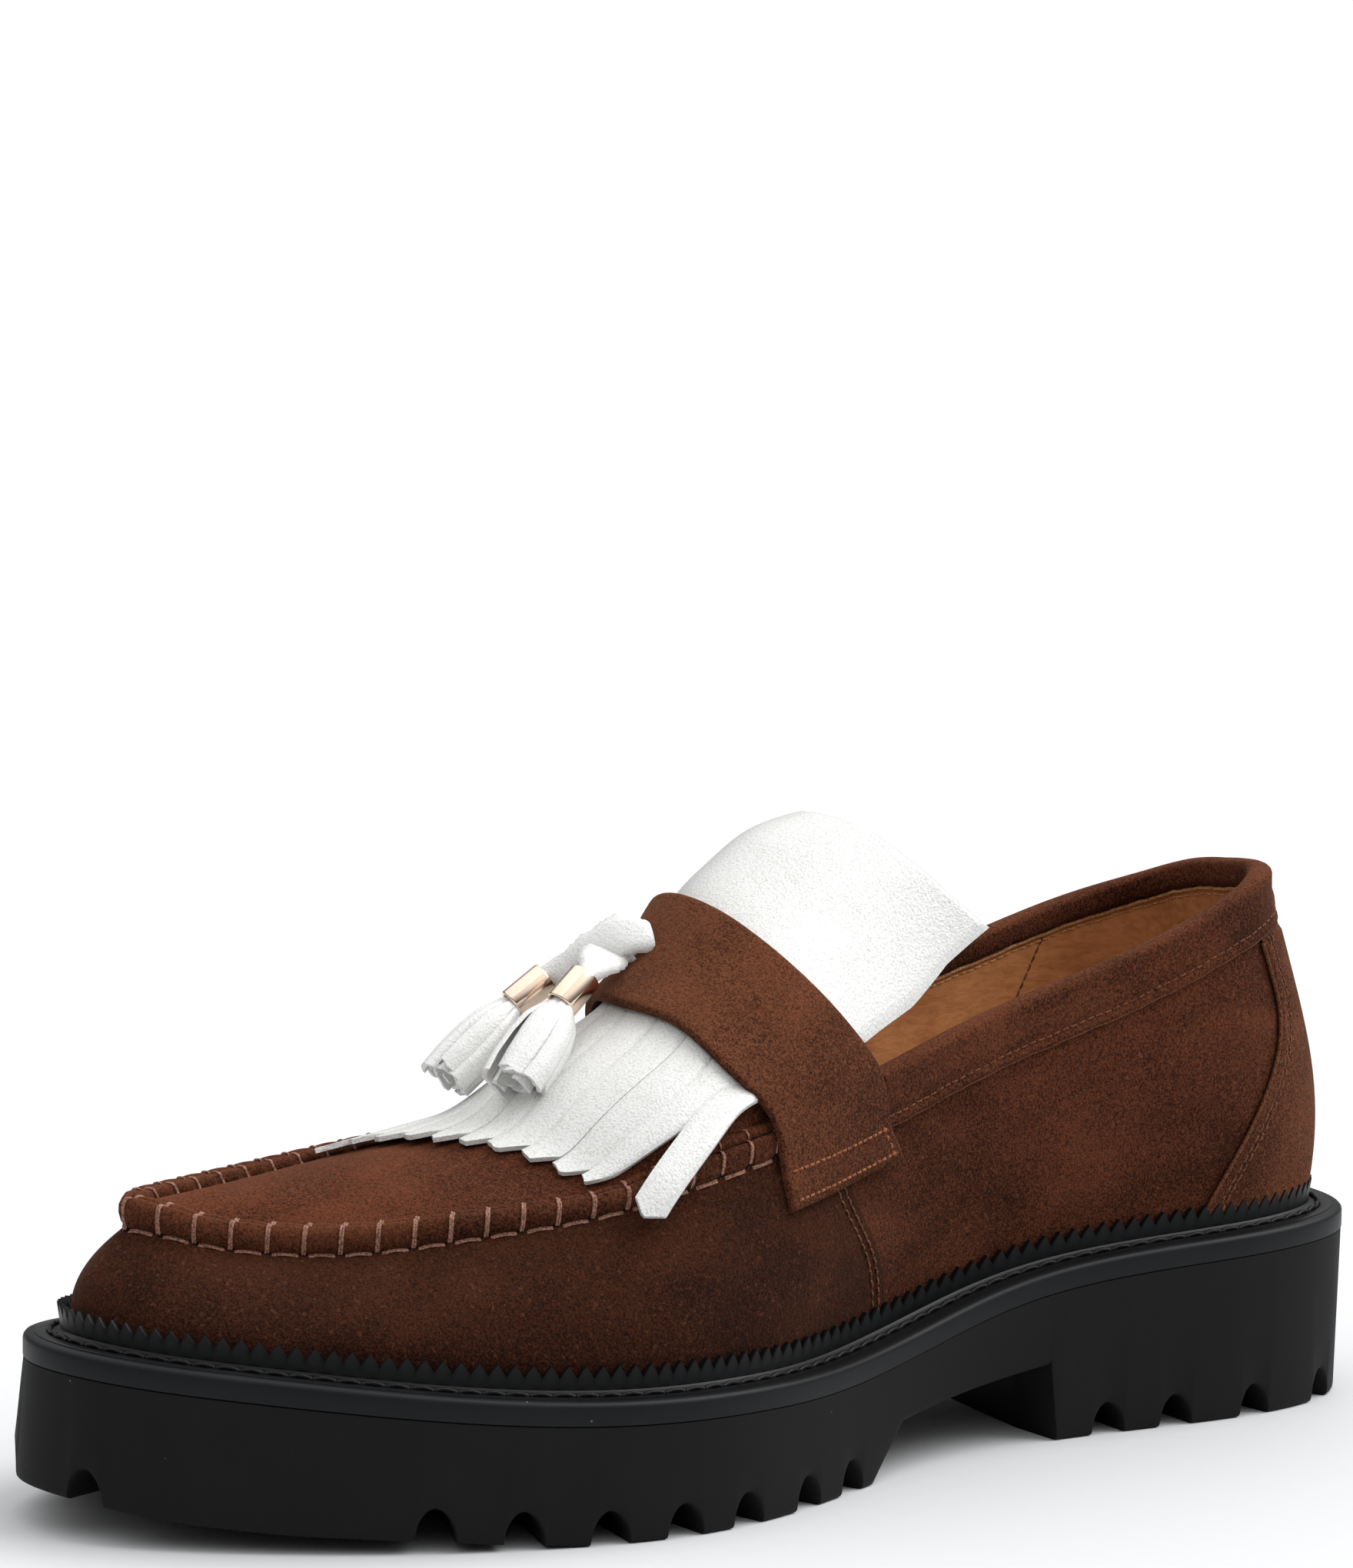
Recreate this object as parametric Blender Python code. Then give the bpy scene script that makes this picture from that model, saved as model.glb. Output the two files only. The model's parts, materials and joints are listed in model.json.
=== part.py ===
"""Lug sole tassel loafer, left shoe.

The toe points to -Y, the heel to +Y, +X is the outer side of the foot and +Z is up.
Sizes are in millimetres inside the shape code and become metres when an object is made.
A station is the distance forward from the back of the heel; a share runs from 0 at the
heel to 1 at the toe along one side of the sole outline.
"""
import bpy
import numpy as np

MM = 0.001
LENGTH = 278.0
# middle of the whole shoe in plan, which becomes the origin
MIDDLE = np.array([1.979, -0.699, 0.0])
OUTER, INNER = 1, -1

# sole outline: station, sideways offset, outer side from heel to toe and back along the inner side
OUTLINE = [
    (0, 1.0), (5, 20.3), (18, 29.8), (40, 33.0), (70, 30.6), (100, 30.8), (128, 38.4), (155, 49.0), (182, 53.6),
    (208, 48.4), (234, 37.2), (256, 22.6), (271, 8.2), (278, -11.0), (272, -27.2), (255, -39.7), (228, -47.2),
    (200, -49.2), (172, -46.0), (140, -37.4), (105, -32.4), (70, -33.0), (40, -34.6), (18, -29.4), (5, -17.0)]
# top of the sole: station, height
SOLE_TOP = [(0, 36.8), (30, 36.0), (60, 34.8), (90, 31.6), (115, 26.7), (140, 24.1), (170, 24.5), (205, 25.5),
            (240, 28.8), (278, 33.2)]
# underside of the sole: station, height above the floor
ARCH = [(84.0, 14.7), (122.5, 10.0)]
FORE_FLOOR = [(130, 0.0), (203, 0.0), (215, 0.9), (232, 2.3), (250, 3.3), (263, 4.7), (273, 6.5), (278, 7.5)]

BAND = 3.7
SPLIT = 0.35
FEATHER = 8.6
HEEL_CENTRE = 46.0
WALL = 2.0
LEAN = 0.64
CROSS = 0.15

# upper edge of the side wall: share, inset from the sole edge, height over the sole, lean low, lean high
OUTER_EDGE = [
    (0.0, 19.8, 65.6, 11, 16), (0.06, 18.6, 66.6, 11, 16), (0.14, 11.2, 65.0, 11, 12), (0.25, 7.8, 54.9, 10, 8),
    (0.36, 7.2, 49.4, 9, 6), (0.46, 9.4, 46.2, 9, 6), (0.55, 15.2, 41.3, 10, 24), (0.64, 20.7, 35.3, 10, 46),
    (0.73, 23.6, 30.0, 10, 54), (0.82, 24.0, 24.3, 9, 57), (0.90, 22.9, 22.8, 9, 56), (0.955, 19.8, 23.7, 9, 52),
    (1.0, 17.6, 23.7, 9, 50)]
INNER_EDGE = [
    (0.0, 19.8, 65.6, 11, 16), (0.06, 17.6, 64.4, 11, 16), (0.14, 9.6, 60.0, 11, 12), (0.25, 6.6, 53.0, 10, 8),
    (0.36, 7.2, 48.0, 9, 6), (0.46, 10.2, 44.8, 9, 6), (0.55, 14.8, 41.4, 10, 24), (0.64, 19.3, 37.9, 10, 44),
    (0.73, 21.8, 34.2, 10, 52), (0.82, 22.2, 29.4, 9, 55), (0.90, 21.2, 26.3, 9, 55), (0.955, 18.8, 24.7, 9, 52),
    (1.0, 17.6, 23.7, 9, 50)]
# rise of the instep over the upper edge: share, rise, roundness of the section
INSTEP = [
    (0.29, 37.9, 0.375), (0.333, 35.8, 0.40), (0.363, 34.4, 0.417), (0.395, 32.6, 0.40), (0.438, 28.3, 0.363),
    (0.490, 19.2, 0.457), (0.523, 14.3, 0.545), (0.556, 11.3, 0.63), (0.587, 9.2, 0.726), (0.618, 7.3, 0.85),
    (0.649, 5.6, 1.0), (0.68, 4.8, 1.0), (0.778, 3.6, 1.0), (0.868, 2.4, 1.0), (0.96, 0.9, 1.0), (1.0, 0.4, 1.0)]
# sideways lean of the instep towards the inner side: share, lean for each unit of rise
SKEW = [(0.29, 0.223), (0.36, 0.288), (0.44, 0.347), (0.53, 0.317), (0.62, 0.317)]


class Spline:
    """Natural cubic curve through a short table."""

    def __init__(self, knots, values):
        self.k = np.asarray(knots, float)
        self.v = np.asarray(values, float)
        n = len(self.k)
        self.h = np.diff(self.k)
        a = np.eye(n)
        rhs = np.zeros(self.v.shape)
        for i in range(1, n - 1):
            a[i, i - 1:i + 2] = self.h[i - 1], 2 * (self.h[i - 1] + self.h[i]), self.h[i]
            rhs[i] = 6 * ((self.v[i + 1] - self.v[i]) / self.h[i] - (self.v[i] - self.v[i - 1]) / self.h[i - 1])
        self.m = np.linalg.solve(a, rhs)

    def __call__(self, q):
        q = np.clip(np.asarray(q, float), self.k[0], self.k[-1])
        i = np.clip(np.searchsorted(self.k, q, side="right") - 1, 0, len(self.h) - 1)
        h = self.h[i]
        b = (q - self.k[i]) / h
        a = 1 - b
        if self.v.ndim > 1:
            a, b, h = a[..., None], b[..., None], h[..., None]
        bend = (a ** 3 - a) * self.m[i] + (b ** 3 - b) * self.m[i + 1]
        return a * self.v[i] + b * self.v[i + 1] + bend * h * h / 6


class Outline:
    """Closed sole outline split at the heel and the toe into two sides."""

    def __init__(self, table, dense=2400):
        pts = np.array([(x, s) for s, x in table], float)
        n = len(pts)
        wrap = np.vstack([pts[-6:], pts, pts[:7]])
        d = np.r_[0, np.cumsum(np.sqrt(np.linalg.norm(np.diff(wrap, axis=0), axis=1)))]
        loop = Spline(d, wrap)(np.linspace(d[6], d[6 + n], dense, endpoint=False))
        heel = int(np.argmin(loop[:, 1]))
        toe = (int(np.argmax(loop[:, 1])) - heel) % dense
        loop = np.roll(loop, -heel, axis=0)
        self.side = {OUTER: self._arc(loop[:toe + 1]), INNER: self._arc(np.vstack([loop[toe:], loop[:1]])[::-1])}

    @staticmethod
    def _arc(p):
        d = np.r_[0, np.cumsum(np.linalg.norm(np.diff(p, axis=0), axis=1))]
        return d / d[-1], p

    def at(self, side, u):
        q, p = self.side[side]
        return np.column_stack([np.interp(u, q, p[:, 0]), np.interp(u, q, p[:, 1])])

    def around(self, side, u):
        """Points past either end carry on along the other side."""
        v = np.where(np.abs(u) > 1, 2 - np.abs(u), np.abs(u))
        own = ((u >= 0) & (u <= 1))[:, None]
        return np.where(own, self.at(side, v), self.at(-side, v))

    def normal(self, side, u):
        u = np.asarray(u, float)
        t = self.around(side, u + 0.004) - self.around(side, u - 0.004)
        t /= np.linalg.norm(t, axis=1)[:, None]
        return side * np.column_stack([t[:, 1], -t[:, 0]])

    def share(self, side, station):
        q, p = self.side[side]
        return np.interp(station, p[:, 1], q)


def smooth(lo, hi, q):
    t = np.clip((np.asarray(q, float) - lo) / (hi - lo), 0, 1)
    return t * t * (3 - 2 * t)


class Last:
    """Every shape of the shoe above the sole, as functions of share and section position."""

    def __init__(self):
        self.outline = Outline(OUTLINE)
        self.top = Spline(*zip(*SOLE_TOP))
        self.edge = {side: Spline([r[0] for r in rows], [r[1:] for r in rows])
                     for side, rows in ((OUTER, OUTER_EDGE), (INNER, INNER_EDGE))}
        self.instep = Spline([r[0] for r in INSTEP], [r[1:] for r in INSTEP])
        self.skew = Spline(*zip(*SKEW))

    def place(self, side, u, out, z):
        """World point at a distance outside the sole edge, at a height over the sole top."""
        u = np.asarray(u, float)
        p = self.outline.at(side, u)
        z = self.top(p[:, 1]) + z
        p = p + self.outline.normal(side, u) * np.broadcast_to(out, u.shape)[:, None]
        return np.column_stack([p[:, 0], LENGTH / 2 - p[:, 1], z])

    def fan(self, side, u):
        """Direction in which the wall leans: square to the edge, fanning out from one centre at the heel."""
        n = self.outline.normal(side, u)
        ray = self.outline.at(side, u) - np.array([0.0, HEEL_CENTRE])
        ray /= np.linalg.norm(ray, axis=1)[:, None]
        k = smooth(0.09, 0.21, u)[:, None]
        d = n * k + ray * (1 - k)
        return d / np.linalg.norm(d, axis=1)[:, None]

    def stand(self, side, u, out, z):
        """World point on the upper: measured from the foot of the wall along the lean."""
        u = np.asarray(u, float)
        p = self.outline.at(side, u)
        z = self.top(p[:, 1]) + z
        out = np.broadcast_to(out, u.shape)[:, None] + FEATHER
        p = p - self.outline.normal(side, u) * FEATHER + self.fan(side, u) * out
        return np.column_stack([p[:, 0], LENGTH / 2 - p[:, 1], z])

    def ridge(self, u):
        """Share of the raised toe seam present."""
        return smooth(0.46, 0.52, u)

    def section(self, side, u, v):
        """Outward distance and height of the wall; v runs 0 to 1 to the seam base and to 2 at the edge."""
        u, v = np.broadcast_arrays(np.asarray(u, float), np.asarray(v, float))
        inset, height, low, high = self.edge[side](u).T
        rise = 3.0 + 2.0 * self.ridge(u)
        p0 = np.stack([-FEATHER + 0 * u, 0.4 + 0 * u], -1)
        p3 = np.stack([-inset, height - rise], -1)
        span = np.linalg.norm(p3 - p0, axis=-1)[..., None] * 0.4
        low, high = np.radians(low), np.radians(high)
        p1 = p0 + span * np.stack([np.sin(low), np.cos(low)], -1)
        p2 = p3 + span * np.stack([np.sin(high), -np.cos(high)], -1)
        t = np.clip(v, 0, 1)[..., None]
        pt = (1 - t) ** 3 * p0 + 3 * t * (1 - t) ** 2 * p1 + 3 * t * t * (1 - t) * p2 + t ** 3 * p3
        tan = 3 * (1 - t) ** 2 * (p1 - p0) + 6 * t * (1 - t) * (p2 - p1) + 3 * t * t * (p3 - p2)
        more = np.clip(v - 1, 0, 1)
        g = self.ridge(u)
        pt = pt + np.stack([more * 0.5 * g, more * rise], -1)
        up = (v > 1)[..., None]
        tan = np.where(up, np.array([0.0, 1.0]), tan)
        tan = tan / np.linalg.norm(tan, axis=-1)[..., None]
        return pt, np.stack([tan[..., 1], -tan[..., 0]], -1)

    def wall(self, side, u, v, out=0.0):
        pt, nrm = self.section(side, u, v)
        out = np.broadcast_to(out, pt.shape[:-1])[..., None]
        pt = pt + nrm * out
        return self.stand(side, np.broadcast_to(u, pt.shape[:-1]), pt[..., 0], pt[..., 1])

    def below(self, side, u, d, out=0.0):
        """Point on the wall a distance d down from the edge."""
        u, d = np.broadcast_arrays(np.asarray(u, float), np.asarray(d, float))
        rise = 3.0 + 2.0 * self.ridge(u)
        inset, height = self.edge[side](u)[..., 0], self.edge[side](u)[..., 1]
        length = np.hypot(inset - FEATHER, height - rise) * 1.05
        v = np.where(d < rise, 2 - d / rise, 1 - (d - rise) / length)
        return self.wall(side, u, v, out)

    def seam(self, side, u):
        """Edge of the wall, inner top of the raised seam and start of the apron."""
        u = np.asarray(u, float)
        g = self.ridge(u)
        turn = np.radians(50) * (1 - smooth(0.55, 0.66, u))
        n = self.outline.normal(side, u)
        n3 = np.column_stack([n[:, 0], -n[:, 1], 0 * u])
        up = np.array([0.0, 0.0, 1.0])
        lift = n3 * np.sin(turn)[:, None] + up * np.cos(turn)[:, None]
        inward = -n3 * np.cos(turn)[:, None] + up * np.sin(turn)[:, None]
        edge = self.wall(side, u, 2.0 + 0 * u)
        ridge = edge + inward * (1.2 + 2.4 * g)[:, None] + lift * (0.3 * g)[:, None]
        apron = edge + inward * (1.8 + 2.6 * g)[:, None] - lift * (1.2 * g)[:, None]
        return edge, ridge, apron

    def form(self, u, a):
        """Instep surface; a runs from -1 at the inner edge to 1 at the outer edge."""
        u, a = np.broadcast_arrays(np.asarray(u, float).ravel(), np.asarray(a, float).ravel())
        eo, ei = self.seam(OUTER, u)[2], self.seam(INNER, u)[2]
        rise, power = self.instep(u).T
        th = np.clip(a, -1, 1) * np.pi / 2
        bow = rise * np.maximum(np.cos(th), 0) ** (2 * power)
        p = (eo + ei) / 2 + (eo - ei) / 2 * np.sin(th)[:, None]
        return p + bow[:, None] * np.column_stack([-self.skew(u), 0 * u - LEAN, 0 * u + 1])

    def band(self, u, a, down=30.0):
        """Instep surface carried on down the wall past a = +1 and a = -1."""
        u, a = np.broadcast_arrays(np.asarray(u, float).ravel(), np.asarray(a, float).ravel())
        p = self.form(u, a)
        for side in (OUTER, INNER):
            over = side * a > 1
            if over.any():
                past = side * a[over] - 1
                edge, _, apron = self.seam(side, u[over])
                cross = np.clip(past / CROSS, 0, 1)[:, None]
                wall = self.below(side, u[over], np.maximum(past - CROSS, 0) * down)
                p[over] = np.where((past < CROSS)[:, None], apron + (edge - apron) * cross, wall)
        return p

    def lifted(self, u, a, out):
        """Point at a distance above the instep surface."""
        u, a = np.broadcast_arrays(np.asarray(u, float).ravel(), np.asarray(a, float).ravel())
        p = self.band(u, a)
        du = self.band(u + 0.006, a) - self.band(u - 0.006, a)
        da = self.band(u, a + 0.05) - self.band(u, a - 0.05)
        n = np.cross(da, du)
        n /= np.linalg.norm(n, axis=1)[:, None]
        centre = np.array([0.0, 0.0, -20.0]) + p * np.array([0, 1, 0])
        n *= np.sign(np.sum(n * (p - centre), axis=1))[:, None]
        return p + n * np.broadcast_to(out, u.shape)[:, None]


LAST = Last()


def quads(rows, cols, closed=False):
    """Faces of a grid whose vertex number is row * cols + col."""
    span = cols if closed else cols - 1
    return [(r * cols + c, r * cols + (c + 1) % cols, (r + 1) * cols + (c + 1) % cols, (r + 1) * cols + c)
            for r in range(rows - 1) for c in range(span)]


def shell(outer, inner, faces):
    """Closed solid between two sheets that share their faces."""
    n = len(outer)
    edges = set()
    for f in faces:
        edges.update(zip(f, f[1:] + f[:1]))
    rim = [(b, a, a + n, b + n) for a, b in sorted(edges) if (b, a) not in edges]
    return np.vstack([outer, inner]), faces + [tuple(i + n for i in f[::-1]) for f in faces] + rim


def ring(side_points):
    """Points of both sides joined into one loop, outer side first."""
    return np.vstack([side_points[OUTER], side_points[INNER][-2:0:-1]])


def stack(rings):
    """Solid through a stack of rings, closed across the first and the last."""
    m = len(rings[0])
    n = m // 2
    cap = [(0, 1, m - 1)] + [(i, i + 1, m - i - 1, m - i) for i in range(1, n - 1)] + [(n - 1, n, n + 1)]
    last = (len(rings) - 1) * m
    faces = [f[::-1] for f in cap] + quads(len(rings), m, True) + [tuple(i + last for i in f) for f in cap]
    return np.vstack(rings), faces


def hoop(rings):
    """Closed band whose cross-section is the list of rings."""
    m = len(rings[0])
    faces = []
    for k in range(len(rings)):
        a, b = k * m, (k + 1) % len(rings) * m
        faces += [(a + i, a + (i + 1) % m, b + (i + 1) % m, b + i) for i in range(m)]
    return np.vstack(rings), faces


def tube(path, radii, sides, flat=(1.0, 1.0), up=(0.0, 0.0, 1.0), wave=0.0):
    """Rings of points round a path."""
    path = np.asarray(path, float)
    tan = np.gradient(path, axis=0)
    tan /= np.linalg.norm(tan, axis=1)[:, None]
    side = np.cross(tan, np.asarray(up, float))
    side /= np.linalg.norm(side, axis=1)[:, None]
    top = np.cross(side, tan)
    ang = np.arange(sides) * 2 * np.pi / sides
    k = 1 + wave * (np.arange(sides) % 2)
    return [p + r * (np.outer(np.cos(ang) * k, s) * flat[0] + np.outer(np.sin(ang) * k, t) * flat[1])
            for p, r, s, t in zip(path, radii, side, top)]


def capped(rings):
    """Solid through open rings with a point at each end."""
    m = len(rings[0])
    pts = np.vstack(rings + [rings[0].mean(0)[None], rings[-1].mean(0)[None]])
    a, b, last = len(rings) * m, len(rings) * m + 1, (len(rings) - 1) * m
    faces = quads(len(rings), m, True)
    faces += [(a, (i + 1) % m, i) for i in range(m)] + [(b, last + i, last + (i + 1) % m) for i in range(m)]
    return pts, faces


def triangles(pts, faces):
    """Faces with every quad split on its shorter diagonal."""
    out = []
    for f in faces:
        if len(f) == 4:
            a, b, c, d = f
            if np.linalg.norm(pts[a] - pts[c]) <= np.linalg.norm(pts[b] - pts[d]):
                out += [(a, b, c), (a, c, d)]
            else:
                out += [(a, b, d), (b, c, d)]
        else:
            out.append(tuple(f))
    return out


def material(name, colour, roughness, metallic):
    mat = bpy.data.materials.new(name)
    mat.use_nodes = True
    node = mat.node_tree.nodes["Principled BSDF"]
    node.inputs["Base Color"].default_value = (*colour, 1.0)
    node.inputs["Roughness"].default_value = roughness
    node.inputs["Metallic"].default_value = metallic
    return mat


def add(name, solid, mat):
    """Make one object from points in millimetres, faces turned outward."""
    pts, faces = solid
    tris = np.array(triangles(pts, faces))
    a, b, c = pts[tris[:, 0]], pts[tris[:, 1]], pts[tris[:, 2]]
    if np.einsum("ij,ij->i", a, np.cross(b, c)).sum() < 0:
        tris = tris[:, ::-1]
    mesh = bpy.data.meshes.new(name)
    mesh.from_pydata(((pts - MIDDLE) * MM).tolist(), [], tris.tolist())
    mesh.materials.append(mat)
    mesh.update()
    bpy.context.scene.collection.objects.link(bpy.data.objects.new(name, mesh))


# notches between the lugs: share along the side, half width at the floor, half width at the top, depth
HALF_LOW, HALF_TOP, DEPTH = 4.0, 1.6, 6.0
NOTCHES = [0.101, 0.165, 0.223, 0.270, 0.489, 0.534, 0.586, 0.630, 0.675, 0.723, 0.771, 0.961]
SIDE_MM = 320.0


def sole_shares():
    """Columns of the sole: plain steps plus the corners of every notch and of the heel breast."""
    marks = {0.0: 0, 1.0: 0}
    for c in NOTCHES:
        for half, cut in ((-HALF_LOW, 0), (-HALF_TOP, 1), (HALF_TOP, 1), (HALF_LOW, 0)):
            marks[c + half / SIDE_MM] = cut
    for u in (0.3065, 0.3115, 0.434, 0.466):
        marks[u] = 0
    for u in np.linspace(0, 1, 37):
        if min(abs(u - m) for m in marks) > 0.014:
            marks[u] = 0
    shares = np.array(sorted(marks))
    cut = np.array([marks[u] for u in shares])
    for c in NOTCHES:
        inside = (np.abs(shares - c) < (HALF_LOW - 0.05) / SIDE_MM) & (cut == 0)
        shares, cut = shares[~inside], cut[~inside]
    return shares, cut


def underside(station, u):
    """Height of the sole underside before the notches are taken out."""
    z = np.interp(station, *zip(*FORE_FLOOR))
    z = np.where(u < 0.466, np.interp(u, (0.434, 0.466), (ARCH[1][1], 0.0)), z)
    z = np.where(u < 0.434, np.interp(u, (0.3115, 0.434), (ARCH[0][1], ARCH[1][1])), z)
    return np.where(u < 0.309, 0.0, z)


def build_outsole():
    u, cut = sole_shares()
    rings = {k: {} for k in ("top", "low", "ledge", "core")}
    for side in (OUTER, INNER):
        st = LAST.outline.at(side, u)[:, 1]
        top = LAST.top(st)
        z = underside(st, u)
        flare = -0.8 + 2.2 * smooth(0.3, 1.0, u)
        deep = np.minimum(z + DEPTH * cut, top - BAND - 8)
        mid = z + 3.0 * cut
        for key, out, height in (("top", -0.2, top - BAND - SPLIT), ("low", flare, deep), ("ledge", -13.5, deep),
                                 ("core", -14.2, mid)):
            rings[key][side] = LAST.place(side, u, out, height - top)
    return stack([ring(rings[k]) for k in ("top", "low", "ledge", "core")])


def build_plate(rows, count):
    """Plate through (inset, height over the sole top) rows."""
    u = (1 - np.cos(np.linspace(0, np.pi, count))) / 2 * 0.35 + np.linspace(0, 1, count) * 0.65
    return stack([ring({s: LAST.place(s, u, -i, z) for s in (OUTER, INNER)}) for i, z in rows])


def build_welt(count):
    u = np.linspace(0, 1, count)
    profile = [(1.0, SPLIT), (1.0, 1.1), (6.6, 1.4), (6.0, 5.6), (7.1, 5.6), (8.0, 1.2), (8.0, SPLIT)]
    return hoop([ring({s: LAST.place(s, u, -i, z) for s in (OUTER, INNER)}) for i, z in profile])


THROAT = 0.475
WALL_ROWS = [0.0, 0.12, 0.3, 0.5, 0.7, 0.87, 1.0]


def collar_shares(count):
    """Columns behind the throat, closer together round the heel."""
    return THROAT * np.linspace(0, 1, count, endpoint=False) ** 1.25


def build_upper(rear, front, across):
    """Hollow upper: side wall, raised toe seam and apron, open at the collar and underneath."""
    u = np.r_[collar_shares(rear), np.linspace(THROAT, 1, front)]
    n, t = len(u) - 1, rear
    m = 2 * n
    outer, inner = [], []
    for v in WALL_ROWS:
        outer.append(ring({s: LAST.wall(s, u, v + 0 * u) for s in (OUTER, INNER)}))
        inner.append(ring({s: LAST.wall(s, u, v + 0 * u, -WALL) for s in (OUTER, INNER)}))
    seams = {s: LAST.seam(s, u) for s in (OUTER, INNER)}
    base = {s: LAST.wall(s, u, 1 + 0 * u, -WALL) for s in (OUTER, INNER)}
    collar = {s: LAST.wall(s, u, 2 + 0 * u, -WALL) for s in (OUTER, INNER)}
    under = {}
    for s in (OUTER, INNER):
        k = np.clip(u, THROAT, 0.985)
        lower = LAST.lifted(k, s * 0.985 + 0 * k, -WALL)
        tip = seams[s][2] + np.array([0, 0, -WALL - 0.3])
        w = smooth(0.93, 0.985, u)[:, None]
        under[s] = lower * (1 - w) + tip * w
    g = smooth(0.44, THROAT, u)[:, None]
    outer.append(ring({s: seams[s][0] for s in (OUTER, INNER)}))
    inner.append(ring({s: collar[s] * (1 - g) + (base[s] * 0.62 + under[s] * 0.38) * g for s in (OUTER, INNER)}))
    faces = quads(len(outer), m, True)
    top_row = len(outer) - 1
    points, below = np.vstack(outer), np.vstack(inner)
    front_cols = list(range(t, m - t + 1))
    for k, mix in ((1, 0.7), (2, 1.0)):
        both = ring({s: seams[s][k] for s in (OUTER, INNER)})
        low = ring({s: base[s] * (1 - mix) + under[s] * mix for s in (OUTER, INNER)})
        start = len(points)
        points, below = np.vstack([points, both[front_cols]]), np.vstack([below, low[front_cols]])
        if k == 1:
            prev = [top_row * m + c for c in front_cols]
        now = [start + i for i in range(len(front_cols))]
        faces += [(prev[i], prev[i + 1], now[i + 1], now[i]) for i in range(len(front_cols) - 1)]
        prev = now
    half = len(prev) // 2
    lines = []
    for j in range(half):
        uj = u[t + j]
        a = np.linspace(1, -1, across + 2)[1:-1]
        start = len(points)
        points = np.vstack([points, LAST.form(uj, a)])
        depth = LAST.lifted(min(uj, 0.985), a, -WALL)
        if uj > 0.985:
            depth = LAST.form(uj, a) + np.array([0, 0, -WALL - 0.3])
        below = np.vstack([below, depth])
        lines.append([prev[j]] + list(range(start, start + across)) + [prev[-1 - j]])
    for p, q in zip(lines, lines[1:]):
        faces += [(p[i], q[i], q[i + 1], p[i + 1]) for i in range(across + 1)]
    tip, end = prev[half], lines[-1]
    faces += [(end[i], tip, end[i + 1]) for i in range(across + 1)]
    return shell(points, below, faces)


BINDING_END = 0.43


def build_binding(count):
    """Folded strip over the collar edge, from the strap round the heel to the strap."""
    u = collar_shares(count)
    u = u[u < BINDING_END]
    count = len(u)
    rows = [(0, 9.0), (0, 3.0), (0, 0.0), (1, 0.0), (1, 3.0), (1, 9.0)]

    def sheet(gap):
        out = []
        for inside, d in rows:
            loop = {}
            for s in (OUTER, INNER):
                off = -WALL - gap if inside else gap
                p = LAST.below(s, u, d + 0 * u, off)
                if d == 0.0:
                    p = p + np.array([0, 0, gap])
                loop[s] = p
            out.append(np.vstack([loop[OUTER][::-1], loop[INNER][1:]]))
        return np.vstack(out)

    return shell(sheet(1.45), sheet(SPLIT), quads(len(rows), 2 * count - 1))


# front edge of the heel counter: height share of the wall, share along the sole
COUNTER_EDGE = [(0.10, 0.174), (0.30, 0.152), (0.50, 0.134), (0.70, 0.107), (0.80, 0.086), (0.893, 0.064)]


def build_counter(count):
    v = np.array([r[0] for r in COUNTER_EDGE])
    rows = []
    for gap in (1.4, 0.5):
        pts = []
        for vj, edge in COUNTER_EDGE:
            w = np.linspace(edge, 0, count)
            a = LAST.wall(OUTER, w, vj + 0 * w, gap)
            b = LAST.wall(INNER, w[::-1][1:], vj + 0 * w[1:], gap)
            pts.append(np.vstack([a, b]))
        rows.append(np.vstack(pts))
    return shell(rows[0], rows[1], quads(len(v), 2 * count - 1))


STRAP_REAR, STRAP_FRONT, STRAP_REACH = 0.4396, 0.526, 1.60
STRAP_THICK, STRAP_OVER_FLAP, STRAP_OVER_WALL = 1.5, 2.5, 0.7


def build_strap(rows, across):
    """Saddle strap from wall to wall over the flap, its ends set a little back."""
    w, aa = np.meshgrid(np.linspace(0, 1, rows), np.linspace(-STRAP_REACH, STRAP_REACH, across), indexing="ij")
    back = smooth(0.4, 1.3, np.abs(aa))
    flare = smooth(1.35, STRAP_REACH, np.abs(aa))
    rear = STRAP_REAR - 0.0104 * back - 0.009 * flare
    front = STRAP_FRONT - 0.0094 * back
    uu = rear + (front - rear) * w
    low = STRAP_OVER_FLAP + (STRAP_OVER_WALL - STRAP_OVER_FLAP) * smooth(0.97, 1.12, np.abs(aa.ravel()))
    return shell(LAST.lifted(uu, aa, low + STRAP_THICK), LAST.lifted(uu, aa, low), quads(rows, across))


STRIPS = 12
SLIT_START = 0.498
SPLAY_START = 0.25
# side edge of the flap: share of the flap's length from its rear edge, section position
FLAP_SIDE = [(0.0, 0.842), (0.2, 0.866), (0.4, 0.92), (0.62, 0.95), (0.80, 0.90), (1.0, 0.875)]
# rear edge of the flap: section position, share; front ends of the fringe: section position, share
FLAP_EDGE = [(-1.0, 0.307), (-0.75, 0.320), (-0.4, 0.333), (0.0, 0.346), (0.4, 0.333), (0.75, 0.320), (1.0, 0.307)]
FRINGE_END = [(-0.92, 0.728), (-0.25, 0.694), (0.25, 0.669), (0.6, 0.651), (0.80, 0.624), (0.95, 0.612)]


def strip_point(k, q):
    """Share and section position on the line k between strips, q from 0 at the slits to 1 at the ends."""
    start = FLAP_SIDE[-1][1] * (2 * k / STRIPS - 1)
    end = -0.875 + 1.655 * k / STRIPS
    a = start + (end - start) * q
    reach = np.interp(end, *zip(*FRINGE_END))
    return SLIT_START + (reach - SLIT_START) * q, a


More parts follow.
